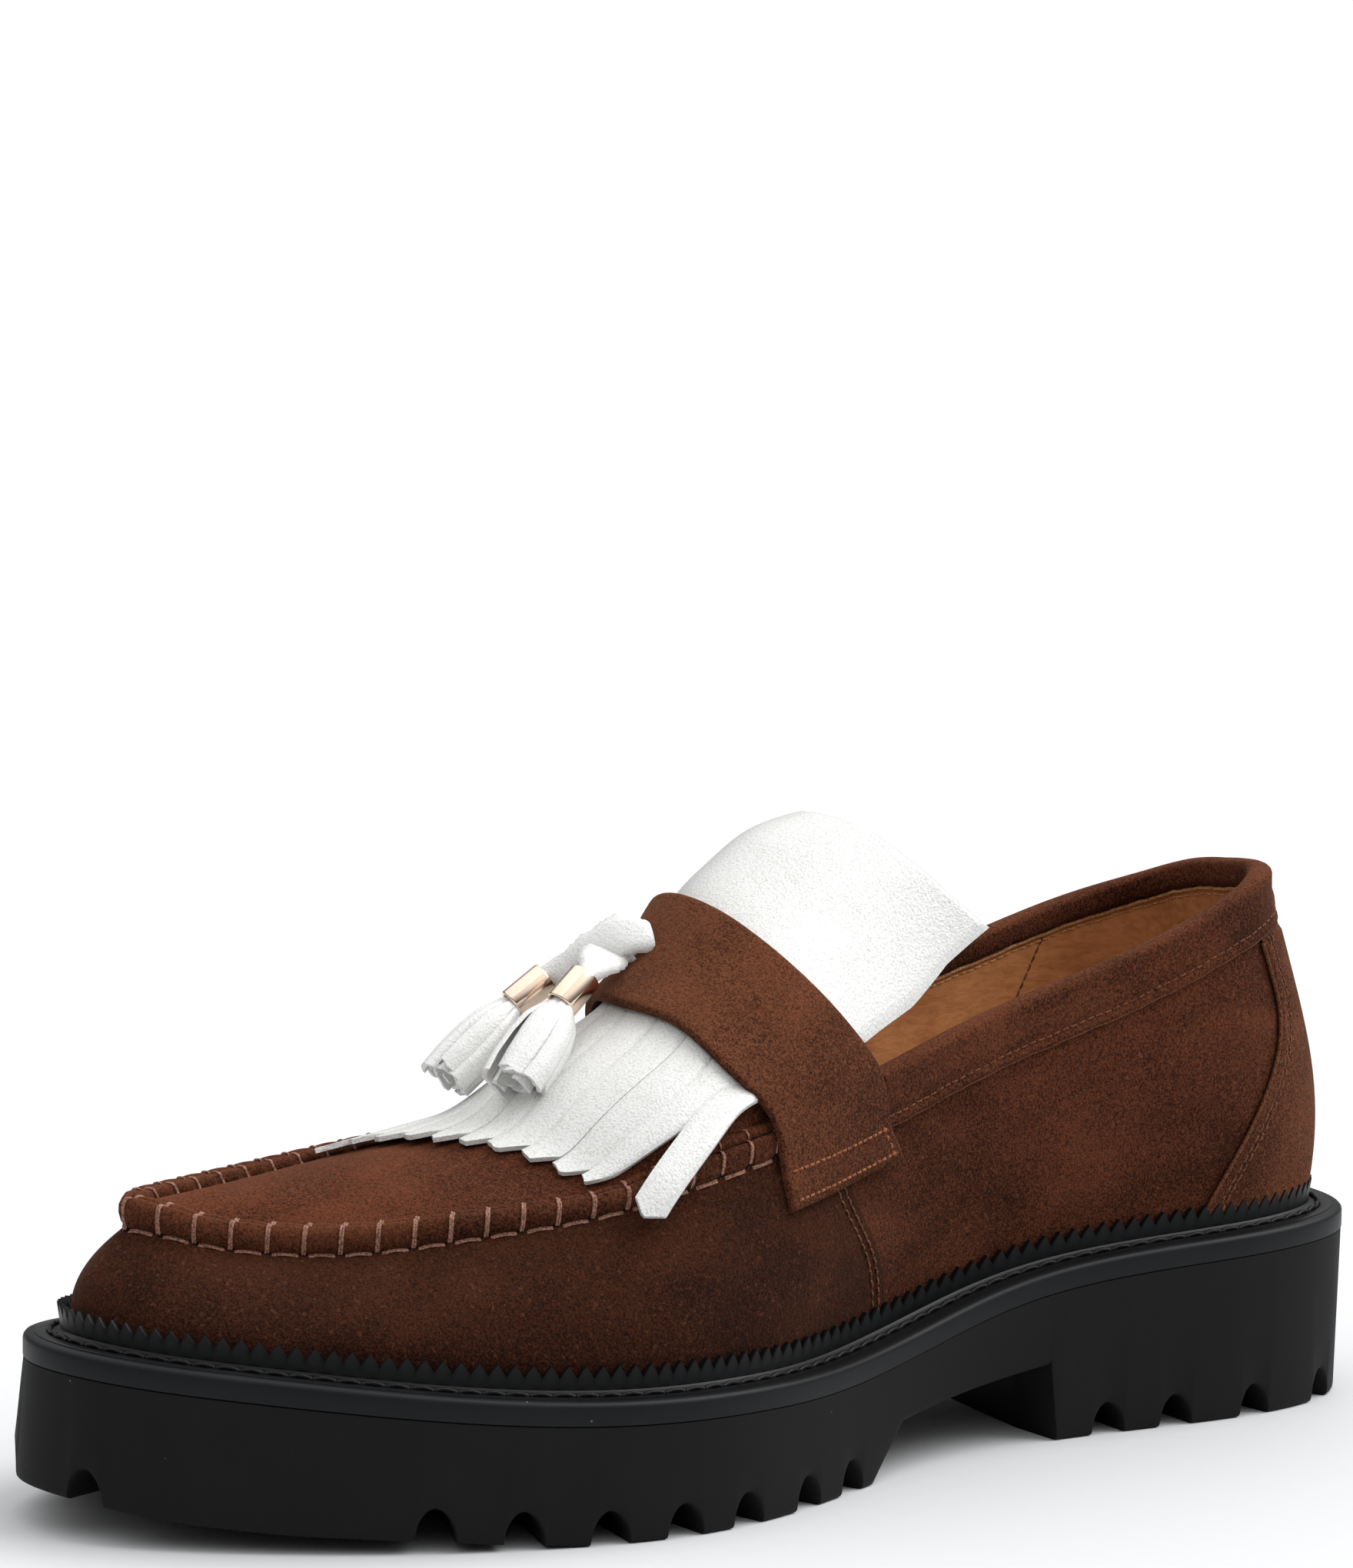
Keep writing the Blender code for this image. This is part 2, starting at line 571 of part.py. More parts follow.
def build_kiltie(flap_rows, fringe_rows):
    """White flap behind the strap and its fringe in front, fused as one sheet."""
    uv, faces = [], []
    rear_edge = Spline(*zip(*FLAP_EDGE))
    for r in range(flap_rows):
        q = r / (flap_rows - 1)
        reach = np.interp(q, *zip(*FLAP_SIDE))
        for k in range(STRIPS + 1):
            a = reach * (2 * k / STRIPS - 1)
            u0 = float(rear_edge(a))
            uv.append((u0 + (SLIT_START - u0) * q, a, 0.0, 0.0))
    faces += quads(flap_rows, STRIPS + 1)
    base = (flap_rows - 1) * (STRIPS + 1)
    for i in range(STRIPS):
        prev = [base + i, base + i + 1]
        splay = 1.0 if i == STRIPS - 1 else 0.0
        for r in range(1, fringe_rows + 1):
            q = r / fringe_rows
            pair = []
            for k, inward in ((i, 1), (i + 1, -1)):
                u, a = strip_point(k, q)
                a += inward * 0.009
                pair.append(len(uv))
                uv.append((u, a, 0.25 * q * (i % 3), splay * max(0.0, q - SPLAY_START) / (1 - SPLAY_START)))
            faces.append((prev[0], prev[1], pair[1], pair[0]))
            prev = pair
        tip = (np.array(uv[prev[0]]) + uv[prev[1]]) / 2
        uv.append(tuple(tip + (0.010, 0, 0, 0)))
        faces.append((prev[0], prev[1], len(uv) - 1))
    u, a, lift, splay = np.array(uv).T
    swing = np.column_stack([9.8 * splay ** 0.9, 0 * splay, 1.6 * np.sin(np.pi * splay) - 4.2 * splay ** 2.2])
    return shell(LAST.lifted(u, a, lift + 1.85) + swing, LAST.lifted(u, a, lift + 0.45) + swing, faces)


def spot(x, station, z):
    return np.array([x, LENGTH / 2 - station, z])


# tassels: top of the ferrule, foot of the ferrule, foot of the skirt
TASSELS = {
    "outer": (spot(-3.0, 168.0, 92.6), spot(-2.2, 173.6, 87.3), spot(0.2, 189.7, 74.4)),
    "inner": (spot(-17.4, 166.6, 88.9), spot(-18.6, 172.6, 83.3), spot(-22.6, 190.4, 71.4)),
}
KNOT = spot(-11.0, 158.0, 95.2)


def build_ferrule(top, foot):
    out = tube([top, foot], [2.9, 2.9], 16)
    bore = tube([top, foot], [2.35, 2.35], 16)
    return hoop([out[0], out[1], bore[1], bore[0]])


def build_skirt(top, foot, end):
    axis = foot - top
    neck = foot - axis / np.linalg.norm(axis) * 2.5
    path = [neck, foot + (end - foot) * 0.03, foot + (end - foot) * 0.25, foot + (end - foot) * 0.6, end]
    return capped(tube(path, [1.6, 1.6, 3.6, 4.8, 5.4], 16, (1.15, 0.68), wave=0.22))


def build_cord():
    tops = [TASSELS[k] for k in ("outer", "inner")]
    ends = []
    for top, foot, _ in tops:
        step = (foot - top) / np.linalg.norm(foot - top)
        ends.append([top + step * 2.5, top - step * 1.0, top - step * 3.4])
    left, right = ends
    path = left + [KNOT + np.array([1.6, 0, 0.4]), KNOT + np.array([-1.6, 0, 0.4])] + right[::-1]
    return capped(tube(path, [1.9, 1.9, 2.0, 3.9, 3.9, 2.0, 1.9, 1.9], 10, up=(0.0, -0.5, 0.87)))


def main():
    for obj in list(bpy.data.objects):
        bpy.data.objects.remove(obj, do_unlink=True)
    suede = (0.072, 0.026, 0.013)
    white = (0.80, 0.79, 0.76)
    add("outsole", build_outsole(), material("outsole_rubber", (0.008, 0.008, 0.009), 0.62, 0.0))
    add("midsole", build_plate([(0.3, -BAND), (0.0, -BAND + 0.8), (0.0, -0.8), (0.6, 0.0)], 45),
        material("midsole_rubber", (0.018, 0.020, 0.024), 0.42, 0.0))
    add("welt", build_welt(61), material("welt_rubber", (0.010, 0.010, 0.011), 0.45, 0.0))
    add("insole", build_plate([(FEATHER + WALL + 0.9, SPLIT), (FEATHER + WALL + 0.9, 2.6)], 33),
        material("insole_leather", (0.40, 0.20, 0.085), 0.55, 0.0))
    add("upper", build_upper(22, 26, 9), material("upper_suede", suede, 0.92, 0.0))
    add("collar_binding", build_binding(22), material("binding_suede", suede, 0.92, 0.0))
    add("heel_counter", build_counter(9), material("counter_suede", suede, 0.92, 0.0))
    add("strap", build_strap(4, 37), material("strap_suede", suede, 0.92, 0.0))
    add("kiltie", build_kiltie(9, 6), material("kiltie_leather", white, 0.38, 0.15))
    add("tassel_cord", build_cord(), material("cord_leather", white, 0.40, 0.1))
    for name, (top, foot, end) in TASSELS.items():
        metal = material("ferrule_metal_" + name, (0.83, 0.62, 0.42), 0.14, 1.0)
        add("ferrule_" + name, build_ferrule(top, foot), metal)
        add("skirt_" + name, build_skirt(top, foot, end), material("skirt_leather_" + name, white, 0.42, 0.1))


main()
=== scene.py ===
"""Looks of a left lug sole tassel loafer: fine meshes, stitches, finishes, light and camera.

The toe points to -Y, the heel to +Y, +X is the outer side of the foot and +Z is up. The shape code works in
millimetres, before the shift that puts the origin under the middle of the shoe, and makes metres at the end.
A station is the distance forward from the back of the heel. A share runs from 0 at the heel to 1 at the toe
along one side of the sole outline. Across the instep, a section position runs from -1 to 1.
"""
import json
import logging
from dataclasses import dataclass
from enum import Enum
from typing import Callable, Dict, List, Optional, Sequence, Tuple, Union

import bpy
import numpy as np
from mathutils import Matrix

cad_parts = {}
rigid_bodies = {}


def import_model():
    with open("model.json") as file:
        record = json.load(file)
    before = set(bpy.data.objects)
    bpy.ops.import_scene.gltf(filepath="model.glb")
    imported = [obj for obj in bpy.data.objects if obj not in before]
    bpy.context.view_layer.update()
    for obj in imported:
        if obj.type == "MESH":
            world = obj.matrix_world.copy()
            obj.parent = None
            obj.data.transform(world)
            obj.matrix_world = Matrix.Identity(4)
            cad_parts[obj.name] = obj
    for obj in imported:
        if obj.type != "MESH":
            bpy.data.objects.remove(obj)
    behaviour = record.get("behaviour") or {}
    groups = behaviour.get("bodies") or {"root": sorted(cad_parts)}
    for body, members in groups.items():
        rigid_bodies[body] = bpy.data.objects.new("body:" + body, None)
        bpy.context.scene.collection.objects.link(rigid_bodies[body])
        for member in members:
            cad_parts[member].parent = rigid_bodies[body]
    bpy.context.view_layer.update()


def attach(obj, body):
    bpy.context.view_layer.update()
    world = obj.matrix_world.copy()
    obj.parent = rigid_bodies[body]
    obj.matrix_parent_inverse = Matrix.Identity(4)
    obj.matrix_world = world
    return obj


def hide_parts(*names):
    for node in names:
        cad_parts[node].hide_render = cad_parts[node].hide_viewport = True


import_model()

LOG = logging.getLogger("loafer")

Array = np.ndarray
Face = Tuple[int, ...]
Colour = Tuple[float, float, float]
Material = bpy.types.Material
Solid = Tuple[Array, List[Face]]
Table = Sequence[Sequence[float]]
Number = Union[float, Array]
Pair = Tuple[float, float]
Triple = Tuple[float, float, float]
# line of points with the directions out of the surface under them
Run = Tuple[Array, Array]

MM = 0.001
LENGTH = 278.0
MIDDLE = np.array([1.979, -0.699, 0.0])
OUTER, INNER = 1, -1
SIDES = (OUTER, INNER)
SIDE_MM = 320.0
UP = np.array([0.0, 0.0, 1.0])

# sole outline: station, sideways offset, outer side from heel to toe and back along the inner side
OUTLINE = [
    (0, 1.0), (5, 20.3), (18, 29.8), (40, 33.0), (70, 30.6), (100, 30.8), (128, 38.4), (155, 49.0),
    (182, 53.6), (208, 48.4), (234, 37.2), (256, 22.6), (271, 8.2), (278, -11.0), (272, -27.2),
    (255, -39.7), (228, -47.2), (200, -49.2), (172, -46.0), (140, -37.4), (105, -32.4),
    (70, -33.0), (40, -34.6), (18, -29.4), (5, -17.0)]
# top of the sole: station, height
SOLE_TOP = [(0, 36.8), (30, 36.0), (60, 34.8), (90, 31.6), (115, 26.7), (140, 24.1), (170, 24.5), (205, 25.5),
            (240, 28.8), (278, 33.2)]
# underside of the sole: share, height of the arch; station, height of the forefoot
ARCH = [(0.3115, 14.7), (0.434, 10.0), (0.466, 0.0)]
FORE_FLOOR = [(130, 0.0), (203, 0.0), (215, 0.9), (232, 2.3), (250, 3.3), (263, 4.7), (273, 6.5), (278, 7.5)]

BAND = 3.7
SPLIT = 0.35
FEATHER = 8.6
HEEL_CENTRE = 46.0
WALL = 2.0
TOE_WALL = UP * (WALL + 0.3)
LEAN = 0.64
CROSS = 0.15
# shares over which the wall's fan, the raised seam and the seam's turn towards the strap come in
HEEL_FAN = (0.09, 0.21)
RIDGE_SPAN = (0.46, 0.52)
TURN_SPAN = (0.55, 0.66)
SEAM_TURN = np.radians(50)
# raised seam: height of the edge over its base, and what the ridge adds
SEAM_TALL = (3.0, 2.0)
# inner top of the seam and start of the apron: distance in, what the ridge adds, lift at the ridge
SEAM_TOP = (1.2, 2.4, 0.3)
SEAM_FOOT = (1.8, 2.6, -1.2)
# wall: height of its foot, share of its span in its curve's handles, swing of its edge, length of its bow
FOOT_RISE = 0.4
HANDLE = 0.4
EDGE_OUT = 0.5
BOWED = 1.05
# steps to measure directions over: along the outline, along the instep and across it
OUTLINE_STEP = 0.004
INSTEP_STEP = 0.006
ACROSS_STEP = 0.05
# share of the seam's height that is folded down, all along it and near the strap, and where each fades out
FOLD = {OUTER: (0.14, 0.30), INNER: (0.0, 0.25)}
FOLD_TOE = (0.92, 1.0)
FOLD_STRAP = (0.57, 0.84)

# upper edge of the side wall: share, inset from the sole edge, height over the sole, lean low, lean high
OUTER_EDGE = [
    (0.0, 19.8, 65.6, 11, 16), (0.06, 18.6, 66.6, 11, 16), (0.14, 11.2, 65.0, 11, 12),
    (0.25, 7.8, 54.9, 10, 8), (0.36, 7.2, 49.4, 9, 6), (0.46, 9.4, 46.2, 9, 6),
    (0.55, 15.2, 41.3, 10, 24), (0.64, 20.7, 35.3, 10, 46), (0.73, 23.6, 30.0, 10, 54),
    (0.82, 24.0, 24.3, 9, 57), (0.90, 22.9, 22.8, 9, 56),
    (0.955, 19.8, 23.7, 9, 52), (1.0, 17.6, 23.7, 9, 50)]
INNER_EDGE = [
    (0.0, 19.8, 65.6, 11, 16), (0.06, 17.6, 64.4, 11, 16), (0.14, 9.6, 60.0, 11, 12),
    (0.25, 6.6, 53.0, 10, 8), (0.36, 7.2, 48.0, 9, 6), (0.46, 10.2, 44.8, 9, 6),
    (0.55, 14.8, 41.4, 10, 24), (0.64, 19.3, 37.9, 10, 44), (0.73, 21.8, 34.2, 10, 52),
    (0.82, 22.2, 29.4, 9, 55), (0.90, 21.2, 26.3, 9, 55),
    (0.955, 18.8, 24.7, 9, 52), (1.0, 17.6, 23.7, 9, 50)]
# rise of the instep over the upper edge: share, rise, roundness of the section
INSTEP = [
    (0.29, 37.9, 0.375), (0.333, 35.8, 0.40), (0.363, 34.4, 0.417), (0.395, 32.6, 0.40), (0.438, 28.3, 0.363),
    (0.490, 19.2, 0.457), (0.523, 14.3, 0.545), (0.556, 11.3, 0.63), (0.587, 9.2, 0.726), (0.618, 7.3, 0.85),
    (0.649, 5.6, 1.0), (0.68, 4.8, 1.0), (0.778, 3.6, 1.0), (0.868, 2.4, 1.0),
    (0.96, 0.9, 1.0), (1.0, 0.4, 1.0)]
# sideways lean of the instep towards the inner side: share, lean for each unit of rise
SKEW = [(0.29, 0.223), (0.36, 0.288), (0.44, 0.347), (0.53, 0.317), (0.62, 0.317)]


class Spline:
    """Natural cubic curve through a short table."""

    def __init__(self, knots: Sequence[float], values: Sequence) -> None:
        """Solve the curve's bends from its knots and values.

        Args:
            knots: places of the values.
            values: values at the knots, or rows of them.
        """
        self.k = np.asarray(knots, float)
        self.v = np.asarray(values, float)
        n = len(self.k)
        self.h = np.diff(self.k)
        a = np.eye(n)
        rhs = np.zeros(self.v.shape)
        for i in range(1, n - 1):
            a[i, i - 1:i + 2] = self.h[i - 1], 2 * (self.h[i - 1] + self.h[i]), self.h[i]
            before, after = np.diff(self.v[i - 1:i + 2], axis=0)
            rhs[i] = 6 * (after / self.h[i] - before / self.h[i - 1])
        self.m = np.linalg.solve(a, rhs)

    def __call__(self, q: Number) -> Array:
        """Values at q, held at the ends.

        Args:
            q: places to read.

        Returns:
            Values there.
        """
        q = np.clip(np.asarray(q, float), self.k[0], self.k[-1])
        i = np.clip(np.searchsorted(self.k, q, side="right") - 1, 0, len(self.h) - 1)
        h = self.h[i]
        b = (q - self.k[i]) / h
        a = 1 - b
        if self.v.ndim > 1:
            a, b, h = a[..., None], b[..., None], h[..., None]
        bend = (a ** 3 - a) * self.m[i] + (b ** 3 - b) * self.m[i + 1]
        return a * self.v[i] + b * self.v[i + 1] + bend * h * h / 6


def curve(table: Table) -> Spline:
    """Smooth curve of a table's further columns over its first."""
    rows = np.array(table, float)
    return Spline(rows[:, 0], rows[:, 1] if rows.shape[1] == 2 else rows[:, 1:])


def read(table: Table, q: Number) -> Array:
    """Straight-line reading of a table of two columns."""
    return np.interp(q, *zip(*table))


def smooth(lo: float, hi: float, q: Number) -> Array:
    """Soft step from 0 at lo to 1 at hi."""
    t = np.clip((np.asarray(q, float) - lo) / (hi - lo), 0, 1)
    return t * t * (3 - 2 * t)


def rounded(q: Number, least: float) -> Array:
    """Share that swells from least at 0 to 1 at 1 along a quarter of an ellipse."""
    return least + (1 - least) * np.sqrt(1 - (1 - np.clip(q, 0, 1)) ** 2)


def dented(rows: Table, x: Number, y: Number) -> Array:
    """Sum of soft hollows and swells; a row is the middle, the reach both ways and the depth.

    Args:
        rows: the forms.
        x: places along.
        y: places across.

    Returns:
        Height at each place.
    """
    out = 0.0 * (x + y)
    for x0, y0, reach_x, reach_y, depth in rows:
        out = out + depth * np.exp(-((x - x0) / reach_x) ** 2 - ((y - y0) / reach_y) ** 2)
    return out


def ragged(rng: np.random.Generator, size: float, count: int) -> Array:
    """Wander of a rough cut edge."""
    return np.convolve(rng.normal(0, size, count + 2), np.ones(3) / 3, "valid")


def unit(v: Array) -> Array:
    """Rows scaled to length one."""
    return v / np.linalg.norm(v, axis=-1, keepdims=True)


def travel(points: Sequence[Array]) -> Array:
    """Distance travelled along points, from 0 at the first."""
    return np.r_[0, np.cumsum(np.linalg.norm(np.diff(points, axis=0), axis=1))]


class Outline:
    """Closed sole outline split at the heel and the toe into two sides."""

    def __init__(self, table: Table, dense: int = 2400) -> None:
        """Read the outline once, densely, and measure both sides.

        Args:
            table: stations and offsets.
            dense: points read round it.
        """
        pts = np.array([(x, s) for s, x in table], float)
        n = len(pts)
        wrap = np.vstack([pts[-6:], pts, pts[:7]])
        d = np.r_[0, np.cumsum(np.sqrt(np.linalg.norm(np.diff(wrap, axis=0), axis=1)))]
        loop = Spline(d, wrap)(np.linspace(d[6], d[6 + n], dense, endpoint=False))
        heel = int(np.argmin(loop[:, 1]))
        toe = (int(np.argmax(loop[:, 1])) - heel) % dense
        loop = np.roll(loop, -heel, axis=0)
        back = np.vstack([loop[toe:], loop[:1]])[::-1]
        self.side = {OUTER: self._arc(loop[:toe + 1]), INNER: self._arc(back)}

    @staticmethod
    def _arc(p: Array) -> Tuple[Array, Array]:
        """Points with their share of the length."""
        d = travel(p)
        return d / d[-1], p

    def at(self, side: int, u: Array) -> Array:
        """Sideways offset and station at a share."""
        q, p = self.side[side]
        return np.column_stack([np.interp(u, q, p[:, 0]), np.interp(u, q, p[:, 1])])

    def around(self, side: int, u: Array) -> Array:
        """Points past either end carry on along the other side.

        Args:
            side: OUTER or INNER.
            u: shares.

        Returns:
            Offset and station.
        """
        v = np.where(np.abs(u) > 1, 2 - np.abs(u), np.abs(u))
        own = ((u >= 0) & (u <= 1))[:, None]
        return np.where(own, self.at(side, v), self.at(-side, v))

    def normal(self, side: int, u: Array) -> Array:
        """Direction out of the outline."""
        t = unit(self.around(side, u + OUTLINE_STEP) - self.around(side, u - OUTLINE_STEP))
        return side * np.column_stack([t[:, 1], -t[:, 0]])


class Last:
    """Every shape of the shoe above the sole, as functions of share and section position."""

    def __init__(self) -> None:
        """Make the curves of all tables."""
        self.outline = Outline(OUTLINE)
        self.top = curve(SOLE_TOP)
        self.edge = {OUTER: curve(OUTER_EDGE), INNER: curve(INNER_EDGE)}
        self.instep = curve(INSTEP)
        self.skew = curve(SKEW)

    def place(self, side: int, u: Array, out: Number, z: Number) -> Array:
        """Point at a distance outside the sole edge, at a height over the sole top.

        Args:
            side: OUTER or INNER.
            u: shares.
            out: distance out.
            z: height over the sole top.

        Returns:
            Points.
        """
        u = np.asarray(u, float)
        p = self.outline.at(side, u)
        z = self.top(p[:, 1]) + z
        p = p + self.outline.normal(side, u) * np.broadcast_to(out, u.shape)[:, None]
        return np.column_stack([p[:, 0], LENGTH / 2 - p[:, 1], z])

    def fan(self, side: int, u: Array) -> Array:
        """Direction in which the wall leans: square to the edge, fanning out from one centre at the heel.

        Args:
            side: OUTER or INNER.
            u: shares.

        Returns:
            Unit directions.
        """
        n = self.outline.normal(side, u)
        ray = unit(self.outline.at(side, u) - np.array([0.0, HEEL_CENTRE]))
        k = smooth(*HEEL_FAN, u)[:, None]
        return unit(n * k + ray * (1 - k))

    def stand(self, side: int, u: Array, out: Array, z: Array) -> Array:
        """Point on the upper, measured from the foot of the wall along the lean.

        Args:
            side: OUTER or INNER.
            u: shares.
            out: distance out.
            z: height over the sole top.

        Returns:
            Points.
        """
        u = np.asarray(u, float)
        p = self.outline.at(side, u)
        z = self.top(p[:, 1]) + z
        out = np.broadcast_to(out, u.shape)[:, None] + FEATHER
        p = p - self.outline.normal(side, u) * FEATHER + self.fan(side, u) * out
        return np.column_stack([p[:, 0], LENGTH / 2 - p[:, 1], z])

    def ridge(self, u: Array) -> Array:
        """Share of the raised toe seam present."""
        return smooth(*RIDGE_SPAN, u)

    def tall(self, u: Array) -> Array:
        """Height of the edge over the base of the seam."""
        plain, more = SEAM_TALL
        return plain + more * self.ridge(u)

    def slump(self, side: int, u: Array) -> Array:
        """Share of the raised seam's height that is folded down towards the strap.

        Args:
            side: OUTER or INNER.
            u: shares.

        Returns:
            Share at each u.
        """
        whole, near = FOLD[side]
        fold = whole * (1 - smooth(*FOLD_TOE, u)) + near * (1 - smooth(*FOLD_STRAP, u))
        return fold * self.ridge(u)

    def section(self, side: int, u: Array, v: Number) -> Tuple[Array, Array]:
        """Outward distance and height of the wall; v runs 0 to 1 to the seam base and to 2 at the edge.

        Args:
            side: OUTER or INNER.
            u: shares.
            v: height shares of the wall.

        Returns:
            Distance out and height, and the direction out of the wall.
        """
        u, v = np.broadcast_arrays(np.asarray(u, float), np.asarray(v, float))
        inset, height, low, high = self.edge[side](u).T
        rise = self.tall(u)
        p0 = np.stack([-FEATHER + 0 * u, FOOT_RISE + 0 * u], -1)
        p3 = np.stack([-inset, height - rise], -1)
        span = np.linalg.norm(p3 - p0, axis=-1)[..., None] * HANDLE
        low, high = np.radians(low), np.radians(high)
        p1 = p0 + span * np.stack([np.sin(low), np.cos(low)], -1)
        p2 = p3 + span * np.stack([np.sin(high), -np.cos(high)], -1)
        t = np.clip(v, 0, 1)[..., None]
        pt = (1 - t) ** 3 * p0 + 3 * t * (1 - t) ** 2 * p1 + 3 * t * t * (1 - t) * p2 + t ** 3 * p3
        tan = 3 * (1 - t) ** 2 * (p1 - p0) + 6 * t * (1 - t) * (p2 - p1) + 3 * t * t * (p3 - p2)
        more = np.clip(v - 1, 0, 1)
        pt = pt + np.stack([more * EDGE_OUT * self.ridge(u), more * rise], -1)
        tan = unit(np.where((v > 1)[..., None], np.array([0.0, 1.0]), tan))
        return pt, np.stack([tan[..., 1], -tan[..., 0]], -1)

    def wall(self, side: int, u: Array, v: Number, out: Number = 0.0) -> Array:
        """Point on the side wall, pushed out along its own normal.

        Args:
            side: OUTER or INNER.
            u: shares.
            v: height shares of the wall.
            out: distance out.

        Returns:
            Points.
        """
        pt, nrm = self.section(side, u, v)
        pt = pt + nrm * np.broadcast_to(out, pt.shape[:-1])[..., None]
        return self.stand(side, np.broadcast_to(u, pt.shape[:-1]), pt[..., 0], pt[..., 1])

    def below(self, side: int, u: Array, d: Array, out: Number = 0.0) -> Array:
        """Point on the wall a distance d down from the edge.

        Args:
            side: OUTER or INNER.
            u: shares.
            d: distance down from the edge.
            out: distance out.

        Returns:
            Points.
        """
        u, d = np.broadcast_arrays(np.asarray(u, float), np.asarray(d, float))
        rise = self.tall(u)
        inset, height = self.edge[side](u)[..., 0], self.edge[side](u)[..., 1]
        length = np.hypot(inset - FEATHER, height - rise) * BOWED
        v = np.where(d < rise, 2 - d / rise, 1 - (d - rise) / length)
        return self.wall(side, u, v, out)

    def seam_axes(self, side: int, u: Array) -> Tuple[Array, Array]:
        """Directions across and up the raised seam.

        Args:
            side: OUTER or INNER.
            u: shares.

        Returns:
            Directions across and up.
        """
        turn = SEAM_TURN * (1 - smooth(*TURN_SPAN, u))
        n = self.outline.normal(side, u)
        n3 = np.column_stack([n[:, 0], -n[:, 1], 0 * u])
        lift = n3 * np.sin(turn)[:, None] + UP * np.cos(turn)[:, None]
        inward = -n3 * np.cos(turn)[:, None] + UP * np.sin(turn)[:, None]
        return inward, lift

    def seam(self, side: int, u: Array) -> Tuple[Array, Array, Array]:
        """Edge of the wall, inner top of the raised seam and start of the apron.

        Args:
            side: OUTER or INNER.
            u: shares.

        Returns:
            The three lines.
        """
        u = np.asarray(u, float)
        g = self.ridge(u)
        inward, lift = self.seam_axes(side, u)
        edge = self.wall(side, u, 2.0)
        ridge, apron = (edge + inward * (plain + more * g)[:, None] + lift * (up * g)[:, None]
                        for plain, more, up in (SEAM_TOP, SEAM_FOOT))
        return edge, ridge, apron

    def form(self, u: Number, a: Number) -> Array:
        """Instep surface; a runs from -1 at the inner edge to 1 at the outer edge.

        Args:
            u: shares.
            a: section positions.

        Returns:
            Points.
        """
        u, a = np.broadcast_arrays(np.asarray(u, float).ravel(), np.asarray(a, float).ravel())
        eo, ei = self.seam(OUTER, u)[2], self.seam(INNER, u)[2]
        rise, power = self.instep(u).T
        th = np.clip(a, -1, 1) * np.pi / 2
        bow = rise * np.maximum(np.cos(th), 0) ** (2 * power)
        p = (eo + ei) / 2 + (eo - ei) / 2 * np.sin(th)[:, None]
        return p + bow[:, None] * np.column_stack([-self.skew(u), 0 * u - LEAN, 0 * u + 1])

    def band(self, u: Number, a: Number, down: float = 30.0) -> Array:
        """Instep surface carried on down the wall past a = +1 and a = -1.

        Args:
            u: shares.
            a: section positions.
            down: length of the wall for one step of a.

        Returns:
            Points.
        """
        u, a = np.broadcast_arrays(np.asarray(u, float).ravel(), np.asarray(a, float).ravel())
        p = self.form(u, a)
        for side in SIDES:
            over = side * a > 1
            if over.any():
                past = side * a[over] - 1
                edge, _, apron = self.seam(side, u[over])
                cross = np.clip(past / CROSS, 0, 1)[:, None]
                wall = self.below(side, u[over], np.maximum(past - CROSS, 0) * down)
                p[over] = np.where((past < CROSS)[:, None], apron + (edge - apron) * cross, wall)
        return p

    def lifted(self, u: Number, a: Number, out: Number) -> Array:
        """Point at a distance above the instep surface.

        Args:
            u: shares.
            a: section positions.
            out: distance out.

        Returns:
            Points.
        """
        u, a = np.broadcast_arrays(np.asarray(u, float).ravel(), np.asarray(a, float).ravel())
        p = self.band(u, a)
        du = self.band(u + INSTEP_STEP, a) - self.band(u - INSTEP_STEP, a)
        da = self.band(u, a + ACROSS_STEP) - self.band(u, a - ACROSS_STEP)
        n = unit(np.cross(da, du))
        centre = np.array([0.0, 0.0, -20.0]) + p * np.array([0, 1, 0])
        n = n * np.sign(np.sum(n * (p - centre), axis=1))[:, None]
        return p + n * np.broadcast_to(out, u.shape)[:, None]


LAST = Last()


def spot(x: float, station: float, z: float) -> Array:
    """Point from a sideways offset, a station and a height."""
    return np.array([x, LENGTH / 2 - station, z])


def quads(rows: int, cols: int, closed: bool = False) -> List[Face]:
    """Faces of a grid whose vertex number is row * cols + col.

    Args:
        rows: rows of the grid.
        cols: columns of the grid.
        closed: whether it closes round.

    Returns:
        Faces.
    """
    span = cols if closed else cols - 1
    return [(r * cols + c, r * cols + (c + 1) % cols, (r + 1) * cols + (c + 1) % cols, (r + 1) * cols + c)
            for r in range(rows - 1) for c in range(span)]


def shell(outer: Array, inner: Array, faces: List[Face]) -> Solid:
    """Closed solid between two sheets that share their faces; the outer faces come first.

    Args:
        outer: points of the outer sheet.
        inner: points of the inner sheet.
        faces: faces of both.

    Returns:
        The solid.
    """
    n = len(outer)
    edges = set()
    for f in faces:
        edges.update(zip(f, f[1:] + f[:1]))
    rim = [(b, a, a + n, b + n) for a, b in sorted(edges) if (b, a) not in edges]
    return np.vstack([outer, inner]), faces + [tuple(i + n for i in f[::-1]) for f in faces] + rim


def ring(side_points: Dict[int, Array]) -> Array:
    """Points of both sides joined into one loop, outer side first."""
    return np.vstack([side_points[OUTER], side_points[INNER][-2:0:-1]])


